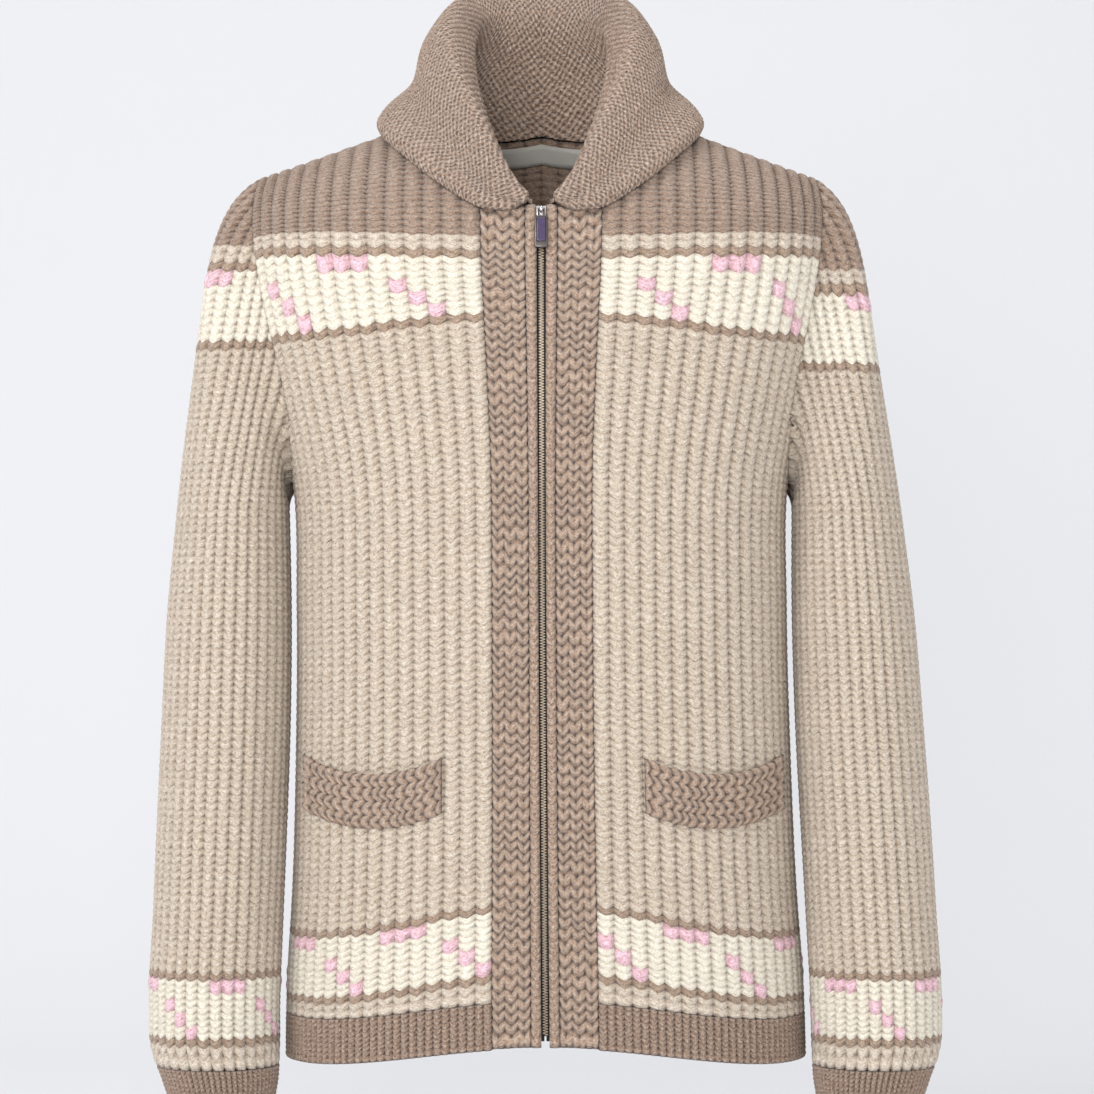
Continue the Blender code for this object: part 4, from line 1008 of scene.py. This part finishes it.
def bandPlace(first, last, columns, courses):
    def place(u, v):
        x = first + (last - first) * u / columns
        q = qAt(x)
        top = chestZ + yokeRise * neckShare(q) - band["top"]
        g = hemZ + band["foot"] + (top - hemZ - band["foot"]) * v / courses
        return bodyPoint(q, g), bodyNormal(q, g), np.ones_like(q)
    return place


for side, name in ((1, "left"), (-1, "right")):
    braidAt = bandPlace(band["edgeX"], bandOuterX - drawn, band["columns"], band["courses"])
    braid = knitWall("band_" + name + "_braid", braidAt, band["columns"], band["courses"],
                     gauges["braid"], bandWall, plainYarn("braid"), side=side)
    dress(braid, "braid_knit", "cardigan", ["band_" + name], braidWool)
    edgeAt = bandPlace(bandInnerX, band["edgeX"] - drawn, 1, band["edgeCourses"])
    edge = knitWall("band_" + name + "_edge", edgeAt, 1, band["edgeCourses"], gauges["cord"], bandWall,
                    plainYarn("edge"), side=side)
    dress(edge, "braid_knit", "cardigan", ["band_" + name], edgeWool)
print("bands knitted")


# The collar in moss stitch: one piece, turned over at the roll
collarKnit = {"along": 256, "across": 168, "pitchAlong": 0.0050, "pitchAcross": 0.0058,
              "relief": 0.0005, "round": 0.0045, "lip": 0.0018, "flat": (0.62, 0.25)}


def collarGrid():
    shares = np.linspace(0, 1, collarKnit["along"] + 1)
    left = collarSections(shares, np.linspace(0, 7, collarKnit["across"] + 1))
    return np.concatenate([sided(left[::-1], 1), sided(left[1:], -1)])


def gridNormals(points):
    along = np.gradient(points, axis=0)
    across = np.gradient(points, axis=1)
    return unit(np.cross(across, along))


def makeCollar():
    points = collarGrid()
    face = gridNormals(points)
    middle = collarKnit["along"]
    steps = np.linalg.norm(np.diff(points, axis=1), axis=2)
    down = np.concatenate([np.zeros((len(points), 1)), np.cumsum(steps, axis=1)], axis=1)
    crest = points[:, points.shape[1] // 2]
    run = np.concatenate([[0.0], np.cumsum(np.linalg.norm(np.diff(crest, axis=0), axis=1))])
    run = run - run[middle]
    u = np.broadcast_to((run / collarKnit["pitchAlong"])[:, None], down.shape)
    v = (down - down[:, -1:]) / collarKnit["pitchAcross"]
    rise = np.cos(2 * np.pi * u) * np.cos(2 * np.pi * v) * collarKnit["relief"]
    rise[0] = rise[-1] = 0
    if face[middle, 10, 1] > 0:  # the seen face looks forward at the back neck
        face = -face
    toEdge = down[:, -1:] - down
    rounded = np.sqrt(1 - (1 - np.clip(toEdge / collarKnit["round"], 0, 1)) ** 2)
    lip = collarKnit["lip"] * np.exp(-((toEdge - 0.007) / 0.006) ** 2)
    seen = points + face * ((collarWall / 2 + rise + lip) * rounded)[..., None]
    hidden = (points - face * (collarWall / 2 * rounded)[..., None])[::4, ::4]
    return gridWall("collar_knit", seen, hidden, np.stack([u, v], axis=-1), "collar")


# A closed wall between a fine grid of points and a plainer one with fewer rows and columns
def gridWall(name, seen, hidden, uv, yarn):
    rows, columns = seen.shape[:2]
    index = np.arange(rows * columns).reshape(rows, columns)
    coarse = rows * columns + np.arange(hidden.shape[0] * hidden.shape[1]).reshape(hidden.shape[:2])
    faces = []
    for grid in (index, coarse):
        quads = np.stack([grid[:-1, :-1], grid[:-1, 1:], grid[1:, 1:], grid[1:, :-1]], axis=-1)
        faces += quads.reshape(-1, 4).tolist()
    rims = []
    for row in (0, -1):
        rims += fan(index[row].tolist(), coarse[row].tolist(), False)
        rims += fan(index[:, row].tolist(), coarse[:, row].tolist(), False)
    skip = (rows - 1) // (hidden.shape[0] - 1)
    perVertex = np.concatenate([uv.reshape(-1, 2), uv[::skip, ::skip].reshape(-1, 2)])
    data = bpy.data.meshes.new(name)
    vertices = np.concatenate([seen.reshape(-1, 3), hidden.reshape(-1, 3)])
    data.from_pydata(vertices.tolist(), [], faces + rims)
    corners = np.concatenate([np.array(faces).reshape(-1), np.array(rims).reshape(-1)])
    atCorners = perVertex[corners].astype(np.float32)
    data.uv_layers.new(name="stitches").data.foreach_set("uv", atCorners.reshape(-1))
    layer = data.color_attributes.new(name="yarn", type="FLOAT_COLOR", domain="CORNER")
    rgba = np.broadcast_to(np.append(yarns[yarn], 1.0), (len(corners), 4)).astype(np.float32)
    layer.data.foreach_set("color", rgba.reshape(-1))
    return sewn(name, data)


collarPiece = makeCollar()
dress(collarPiece, "moss_knit", "cardigan", ["collar"], mossWool)
print("collar knitted")


# Pocket welts: the braid runs along them
welt = {"columns": 4, "courses": 16, "flat": (0.102, 0.044)}


def weltPlace(u, v):
    down, across = 1 - u / welt["columns"], 1 - v / welt["courses"]
    q, z = pocketPlace(across, down * weltHeight)
    gape = weltGape * (1 - down) * np.sin(np.pi * across)
    edgeNear = np.minimum(np.minimum(across, 1 - across) * 9, (1 - down) * 5)
    stand = rib + 3 * seam + gape + (weltWall - 0.0008) * np.sqrt(np.clip(edgeNear, 0.02, 1))
    return bodyPoint(q, z) + bodyNormal(q, z) * stand[..., None], bodyNormal(q, z), np.ones_like(q)


# Thin cloth: an even wall around a grid of points
def sheetGrid(name, rows, thickness):
    rows = np.array(rows)
    face = gridNormals(rows)
    count = rows.shape[:2]
    uv = np.stack(np.meshgrid(np.arange(count[1]), np.arange(count[0])), axis=-1).astype(float)
    seen, hidden = rows + face * thickness / 2, rows - face * thickness / 2
    return gridWall(name, seen, hidden[::2, ::2], uv, "beige")


# Woven cloth: crossing threads in two tones of its colour
def clothMaterial(name, colour, pitch, roughness, fleck=0.1, darkest=0.72):
    made, tree, shader = startMaterial(name, roughness)
    place = add(tree, "ShaderNodeTexCoord").outputs["Object"]
    parts = add(tree, "ShaderNodeSeparateXYZ")
    tree.links.new(place, parts.inputs[0])
    warp, weft = [wave(tree, "SINE", parts.outputs[k], 2 / pitch) for k in (0, 2)]
    weave = calc(tree, "MULTIPLY", warp, weft)
    threads = noise(tree, place, 900.0, 2.0)
    height = calc(tree, "ADD", weave, threads)
    raised(tree, shader, height, 0.0003)
    share = calc(tree, "ADD", calc(tree, "MULTIPLY", weave, fleck), calc(tree, "MULTIPLY", threads, 0.5))
    colours = blended(tree, share, tuple(colour * darkest), tuple(colour * 1.12))
    tree.links.new(colours, shader.inputs["Base Color"])
    return made


liningCloth = clothMaterial("cardigan pocket lining", linear(190, 170, 152), 0.0008, 0.8)
labelCloth = clothMaterial("cardigan neck label", linear(252, 248, 239), 0.0006, 0.6, 0.04, 0.98)
tapeCloth = clothMaterial("cardigan zip tape", linear(74, 64, 56), 0.0009, 0.85)

bagCloth = {"flat": (0.092, 0.150), "inset": 0.04, "below": 0.012, "steps": 25}
across, down = np.meshgrid(
    np.linspace(bagCloth["inset"], 1 - bagCloth["inset"], bagCloth["steps"]),
    np.linspace(bagCloth["below"], weltTopZ - bagBottomZ, bagCloth["steps"]),
)
bagAt = pocketPlace(across, down)
bagRows = bodyPoint(*bagAt) - bodyNormal(*bagAt) * (knit + liningGap + bagWall / 2)
for side, name in ((1, "left"), (-1, "right")):
    piece = knitWall("pocket_welt_" + name + "_braid", weltPlace, welt["columns"], welt["courses"],
                     gauges["braid"], weltWall - 0.0010, plainYarn("braid"), side=side)
    dress(piece, "braid_knit", "cardigan", ["pocket_welt_" + name], braidWool)
    bag = sheetGrid("pocket_bag_" + name + "_cloth", sided(bagRows, side), bagWall)
    dress(bag, "lining_cloth", "cardigan", ["pocket_bag_" + name], liningCloth)
print("pockets sewn")


# The bare neck label, woven, hung from the back neck seam
labelParts = {"flat": (0.080, 0.0175), "lowShare": 0.36}


def labelRows():
    x, drop = np.meshgrid(np.linspace(-labelWidth / 2, labelWidth / 2, 41), np.linspace(0, 1, 9))
    q = 2 - qAt(np.abs(x))
    levels = [chestZ + yokeRise * labelParts["lowShare"] + 0 * q, chestZ + yokeRise * neckShare(q)]
    depth = knit + liningGap + labelWall / 2
    low, high = [bodyPoint(q, g) - bodyNormal(q, g) * depth for g in levels]
    height = np.linalg.norm(high - low, axis=-1)
    share = 1 - (labelDrop + drop * labelHeight) / height
    rows = low + (high - low) * share[..., None]
    rows[..., 0] = np.abs(rows[..., 0]) * np.where(x >= 0, 1, -1)
    return rows


label = sheetGrid("neck_label_cloth", labelRows(), labelWall)
dress(label, "label_cloth", "cardigan", ["neck_label"], labelCloth)
print("label sewn")


# Metals: brushed a little, with faint wear
def metalMaterial(name, colour, roughness, grain, shine=1.0):
    made, tree, shader = startMaterial(name, roughness)
    place = add(tree, "ShaderNodeTexCoord").outputs["Object"]
    wear = noise(tree, place, grain, 3.0)
    tree.links.new(blended(tree, wear, tuple(colour * 0.80), tuple(colour)), shader.inputs["Base Color"])
    tree.links.new(calc(tree, "MULTIPLY_ADD", wear, 0.18, roughness - 0.09), shader.inputs["Roughness"])
    shader.inputs["Metallic"].default_value = shine
    return made


silverMetal = metalMaterial("cardigan slider silver", linear(236, 236, 238), 0.24, 700.0)
toothMetal = metalMaterial("cardigan zip teeth", linear(196, 181, 163), 0.34, 900.0, 0.7)
gunMetal = metalMaterial("cardigan pull gunmetal", linear(116, 110, 108), 0.30, 600.0)


def inlayMaterial():
    made, tree, shader = startMaterial("cardigan pull inlay", 0.16)
    place = add(tree, "ShaderNodeTexCoord").outputs["Object"]
    cloud = noise(tree, place, 420.0, 4.0)
    violet = blended(tree, cloud, (0.030, 0.018, 0.060), (0.075, 0.050, 0.125))
    tree.links.new(violet, shader.inputs["Base Color"])
    shader.inputs["Coat Weight"].default_value = 0.6
    return made


inlay = inlayMaterial()


# The zip tape: woven strips behind the bands
def tapeRows(xs, g, depth):
    return frontLine(g, -depth)[:, None, :] + np.array([[x, 0.0, 0.0] for x in xs])[None]


zipParts = {"tapeWidth": 0.0120, "tapeWall": 0.0008, "tapeClear": 0.0006, "tapeFlat": (0.0113, 0.60),
            "tooth": (0.0015, 0.0016, 0.0010), "pitch": 0.00195}
tapeDepth = bandWall + zipParts["tapeClear"] + zipParts["tapeWall"] / 2
levels = np.linspace(zipBottom, zipTop, 161)
for side, name in ((1, "left"), (-1, "right")):
    xs = np.linspace(side * 0.0007, side * zipParts["tapeWidth"], 7)
    rows = tapeRows(xs, levels, tapeDepth)
    tapePiece = sheetGrid("zip_tape_" + name + "_cloth", rows, zipParts["tapeWall"])
    dress(tapePiece, "zip_tape", "cardigan", ["zip_tape_" + name], tapeCloth)


# Names the shape that a modelling tool has just made.
def picked(name):
    piece = bpy.context.object
    piece.name = name
    piece.data.name = name
    return piece


def onlySelect(piece):
    bpy.ops.object.select_all(action="DESELECT")
    piece.select_set(True)
    bpy.context.view_layer.objects.active = piece


def block(name, size, at, bevel, segments=2):
    bpy.ops.object.select_all(action="DESELECT")
    bpy.ops.mesh.primitive_cube_add(size=1, location=at)
    piece = picked(name)
    piece.scale = size
    bpy.ops.object.transform_apply(location=True, rotation=True, scale=True)
    if bevel:
        rounding = piece.modifiers.new("rounded edges", "BEVEL")
        rounding.width = bevel
        rounding.segments = segments
        bpy.ops.object.modifier_apply(modifier=rounding.name)
    return piece


def rod(name, radius, length, at, turn=(0, 0, 0), sides=24):
    bpy.ops.object.select_all(action="DESELECT")
    bpy.ops.mesh.primitive_cylinder_add(vertices=sides, radius=radius, depth=length, location=at,
                                        rotation=turn)
    piece = picked(name)
    bpy.ops.object.transform_apply(location=True, rotation=True, scale=True)
    rounding = piece.modifiers.new("rounded edges", "BEVEL")
    rounding.width = radius * 0.25
    rounding.segments = 2
    bpy.ops.object.modifier_apply(modifier=rounding.name)
    return piece


def together(name, pieces):
    bpy.ops.object.select_all(action="DESELECT")
    for piece in pieces:
        piece.select_set(True)
    bpy.context.view_layer.objects.active = pieces[0]
    bpy.ops.object.join()
    return picked(name)


def hollowed(piece, cutter):
    onlySelect(piece)
    cut = piece.modifiers.new("shape", "BOOLEAN")
    cut.object = cutter
    cut.operation = "DIFFERENCE"
    cut.solver = "EXACT"
    bpy.ops.object.modifier_apply(modifier=cut.name)
    bpy.data.objects.remove(cutter)
    return piece


# The chain: a tooth for each side, repeated up the front line, the two sides half a pitch apart
def makeChain():
    bottom, top = zipBottom + 0.004, zipTop - 0.0085
    line = frontLine(np.linspace(bottom, top, 200), -(bandWall - 0.0018))
    along = np.concatenate([[0.0], np.cumsum(np.linalg.norm(np.diff(line, axis=0), axis=1))])
    wide, deep, tall = zipParts["tooth"]
    halves = []
    for side in (1, -1):
        start = zipParts["pitch"] * (0.5 if side > 0 else 1.0)
        tooth = block("tooth", (wide, deep, tall), (side * wide * 0.42, 0, start), 0.0003, 1)
        root = block("tooth root", (wide * 0.6, deep * 1.4, tall * 0.75), (side * wide * 0.95, 0, start),
                     0.0002, 1)
        half = together("zip half", [tooth, root])
        onlySelect(half)
        many = half.modifiers.new("teeth", "ARRAY")
        many.count = int(along[-1] / zipParts["pitch"]) - 1
        many.use_relative_offset = False
        many.use_constant_offset = True
        many.constant_offset_displace = (0, 0, zipParts["pitch"])
        bpy.ops.object.modifier_apply(modifier=many.name)
        halves.append(half)
    chain = together("zip_chain_teeth", halves)
    at = np.empty(len(chain.data.vertices) * 3)
    chain.data.vertices.foreach_get("co", at)
    at = at.reshape(-1, 3)
    bent = np.stack([np.interp(at[:, 2], along, line[:, k]) for k in range(3)], axis=-1)
    bent[:, :2] += at[:, :2]
    chain.data.vertices.foreach_set("co", bent.reshape(-1))
    chain.data.update()
    return chain


chain = makeChain()
dress(chain, "zip_metal", "cardigan", ["zip_chain"], toothMetal)
print("zip laid")


# The slider's own axes: x across, z up along the zip, y into the wearer
sliderParts = {"drop": 0.0050, "proud": 0.0030, "wide": 0.0078, "long": 0.0100, "wall": 0.0016,
               "bailWide": 0.0018, "bailRise": 0.0036, "bailTop": 0.0042, "post": 0.0016}
pullParts = {"pin": 0.0007, "play": 0.0005, "armWide": 0.0011, "reach": 0.0064, "out": 0.0021,
             "wide": 0.0086, "long": 0.0235, "wall": 0.0024, "rim": 0.0010, "lean": 0.03}


def sliderFrame():
    low, middle, high = frontLine(zipTop - sliderParts["drop"] * np.array([2, 1, 0]))
    up = Vector(high - low).normalized()
    across = Vector((1.0, 0.0, 0.0))
    made = Matrix((across, up.cross(across).normalized(), up)).transposed().to_4x4()
    made.translation = Vector(middle)
    return made


sliderAxes = sliderFrame()


# Puts a finished piece, modelled round the slider's own middle, in its place by its vertices.
def seated(piece, axes):
    piece.data.transform(axes)
    piece.data.shade_smooth()
    onlySelect(piece)
    bpy.ops.object.shade_smooth_by_angle(angle=0.6)
    return piece


def makeSlider():
    wide, long, wall = sliderParts["wide"], sliderParts["long"], sliderParts["wall"]
    face = -sliderParts["proud"]
    plate = block("slider plate", (wide, wall, long), (0, face + wall / 2, 0), 0)
    for vertex in plate.data.vertices:
        if vertex.co.z < 0:
            vertex.co.x *= 0.74  # narrower towards the closed end of the zip
    rounding = plate.modifiers.new("rounded edges", "BEVEL")
    rounding.width = 0.0007
    rounding.segments = 3
    onlySelect(plate)
    bpy.ops.object.modifier_apply(modifier=rounding.name)
    pieces = [plate]
    for side in (1, -1):
        flangeAt = (side * (wide / 2 - 0.0007), face + 0.0022, 0)
        flange = block("slider flange", (0.0009, 0.0030, long * 0.86), flangeAt, 0.0003)
        for vertex in flange.data.vertices:
            if vertex.co.z < 0:
                vertex.co.x -= side * 0.0009
        pieces.append(flange)
    seat = bandWall + zipParts["tapeClear"] + 0.0002 - seam
    neckAt = (0, (seat + face + wall / 2) / 2, 0.0018)
    pieces.append(block("slider neck", (0.0030, seat - face - wall / 2, 0.0034), neckAt, 0.0003))
    hole = 2 * (pullParts["pin"] + pullParts["play"])
    highZ = sliderParts["bailTop"] - sliderParts["post"] / 2
    lowZ = sliderParts["bailTop"] - 1.5 * sliderParts["post"] - hole
    middleZ = (highZ + lowZ) / 2
    bpy.ops.object.select_all(action="DESELECT")
    bpy.ops.mesh.primitive_torus_add(
        major_radius=(highZ - lowZ) / 2, minor_radius=0.00075, major_segments=32, minor_segments=14,
        location=(0, face, middleZ), rotation=(0, math.pi / 2, 0),
    )
    bail = picked("slider bail")
    bail.scale = (1.0, 1.0, 1.25)
    bpy.ops.object.transform_apply(location=False, rotation=True, scale=True)
    for vertex in bail.data.vertices:
        vertex.co.y *= 1.5
        vertex.co.x *= 1.2
    bpy.ops.object.transform_apply(location=True, rotation=False, scale=False)
    pieces.append(bail)
    return seated(together("zip_slider_metal", pieces), sliderAxes)


slider = makeSlider()
dress(slider, "silver_metal", "cardigan", ["zip_slider"], silverMetal)


def pullFrame():
    hole = 2 * (pullParts["pin"] + pullParts["play"])
    pinZ = sliderParts["bailTop"] - sliderParts["post"] - hole / 2
    pinY = -sliderParts["proud"] - pullParts["play"] - pullParts["pin"]
    reach = sliderParts["drop"] + pullParts["reach"] + pullParts["long"]
    high, low = frontLine(np.array([zipTop - sliderParts["drop"], zipTop - reach]))
    hang = Vector(high - low).normalized()
    turn = math.acos(min(hang.dot(sliderAxes.to_3x3() @ Vector((0, 0, 1))), 1.0))
    swung = Matrix.Rotation(turn - pullParts["lean"], 4, "X")
    return sliderAxes @ Matrix.Translation((0, pinY, pinZ)) @ swung


pullAxes = pullFrame()


def makePull():
    pin, reach, out = pullParts["pin"], pullParts["reach"], pullParts["out"]
    span = sliderParts["bailWide"] / 2 + pullParts["play"] + pullParts["armWide"] / 2
    pieces = [rod("pull pin", pin, 2 * span + pullParts["armWide"], (0, 0, 0), (0, math.pi / 2, 0))]
    slope = math.atan2(out, reach)
    length = math.hypot(reach, out) + 2 * pin
    for side in (-1, 1):
        arm = block("pull arm", (pullParts["armWide"], 0.0015, length), (0, 0, pin - length / 2), 0.0004, 3)
        arm.data.transform(Matrix.Translation((side * span, 0, 0)) @ Matrix.Rotation(-slope, 4, "X"))
        pieces.append(arm)
    middle = pin - reach - pullParts["long"] / 2
    tabY = -out - pullParts["wall"] / 6
    size = pullParts["wide"], pullParts["wall"], pullParts["long"]
    tab = block("pull tab", size, (0, tabY, middle), 0.0006, 3)
    opening = (pullParts["wide"] - 2 * pullParts["rim"], 0.0179)
    faceY, stoneZ = tabY - pullParts["wall"] / 2, middle + 0.0012
    tab = hollowed(tab, block("stone seat", (opening[0], 0.0016, opening[1]), (0, faceY, stoneZ), 0.0003))
    pull = seated(together("zip_pull_metal", pieces + [tab]), pullAxes)
    stone = block("zip_pull_inlay", (opening[0] - 2 * seam, 0.0012, opening[1] - 2 * seam),
                  (0, faceY + 0.0008 - seam - 0.0006, stoneZ), 0.00045, 4)
    return pull, seated(stone, pullAxes)


pull, stone = makePull()
dress(pull, "dark_metal", "pull", ["zip_pull"], gunMetal)
dress(stone, "pull_inlay", "pull", ["zip_pull_stone"], inlay)
print("slider and pull made")


# A pale studio sweep: a floor that curves up behind
def makeSweep():
    profile = [(-6.0, 0.0), (1.2, 0.0)]
    for k in range(1, 13):
        angle = k / 12 * math.pi / 2
        profile.append((1.2 + 1.4 * math.sin(angle), 1.4 * (1 - math.cos(angle))))
    profile.append((2.6, 7.0))
    vertices = [(x, y, -0.80 + z) for y, z in profile for x in (-6.0, 6.0)]
    faces = [(2 * k, 2 * k + 1, 2 * k + 3, 2 * k + 2) for k in range(len(profile) - 1)]
    data = bpy.data.meshes.new("studio_floor")
    data.from_pydata(vertices, [], faces)
    data.shade_smooth()
    floor = inScene("studio_floor", data)
    made, tree, shader = startMaterial("studio paper", 0.95)
    place = add(tree, "ShaderNodeTexCoord").outputs["Object"]
    paper = blended(tree, noise(tree, place, 3.0), (0.734, 0.742, 0.767), (0.739, 0.747, 0.772))
    tree.links.new(paper, shader.inputs["Base Color"])
    shader.inputs["Specular IOR Level"].default_value = 0.0
    facing = add(tree, "ShaderNodeNewGeometry")  # one-sided paper: a view from behind sees past it
    clear = add(tree, "ShaderNodeBsdfTransparent")
    oneSided = add(tree, "ShaderNodeMixShader")
    tree.links.new(facing.outputs["Backfacing"], oneSided.inputs[0])
    tree.links.new(shader.outputs[0], oneSided.inputs[1])
    tree.links.new(clear.outputs[0], oneSided.inputs[2])
    tree.links.new(oneSided.outputs[0], tree.nodes["Material Output"].inputs["Surface"])
    data.materials.append(made)
    return floor


makeSweep()


# Soft studio light: broad panels in front, above and to both sides, and an even fill
def softLight(name, at, size, power):
    data = bpy.data.lights.new(name, "AREA")
    data.shape = "RECTANGLE"
    data.size, data.size_y = size
    data.energy = power
    light = inScene(name, data)
    light.location = at
    light.visible_camera = False
    light.rotation_euler = (Vector((0.0, 0.0, -0.30)) - Vector(at)).to_track_quat("-Z", "Y").to_euler()


softLight("light above left", (-2.2, -2.4, 1.9), (1.2, 1.2), 61)
softLight("light in front", (-0.3, -3.4, 0.15), (0.9, 0.7), 50)
softLight("light right", (2.4, -2.2, 0.4), (1.6, 1.8), 12)
softLight("light above behind", (0.0, 1.2, 2.4), (2.0, 1.0), 20)

world = bpy.data.worlds.new("studio fill")
bpy.context.scene.world = world
world.use_nodes = True
fill = world.node_tree.nodes["Background"]
fill.inputs["Color"].default_value = (1.0, 0.99, 0.985, 1.0)
fill.inputs["Strength"].default_value = 0.72

view = bpy.data.cameras.new("camera")
view.lens = 150.8
view.sensor_width = 36.0
camera = inScene("camera", view)
camera.location = (0.004, -3.3, -0.2966)
camera.rotation_euler = (math.pi / 2, 0.0, 0.0)
bpy.context.scene.camera = camera
bpy.context.scene.view_settings.view_transform = "Standard"
print("studio ready")
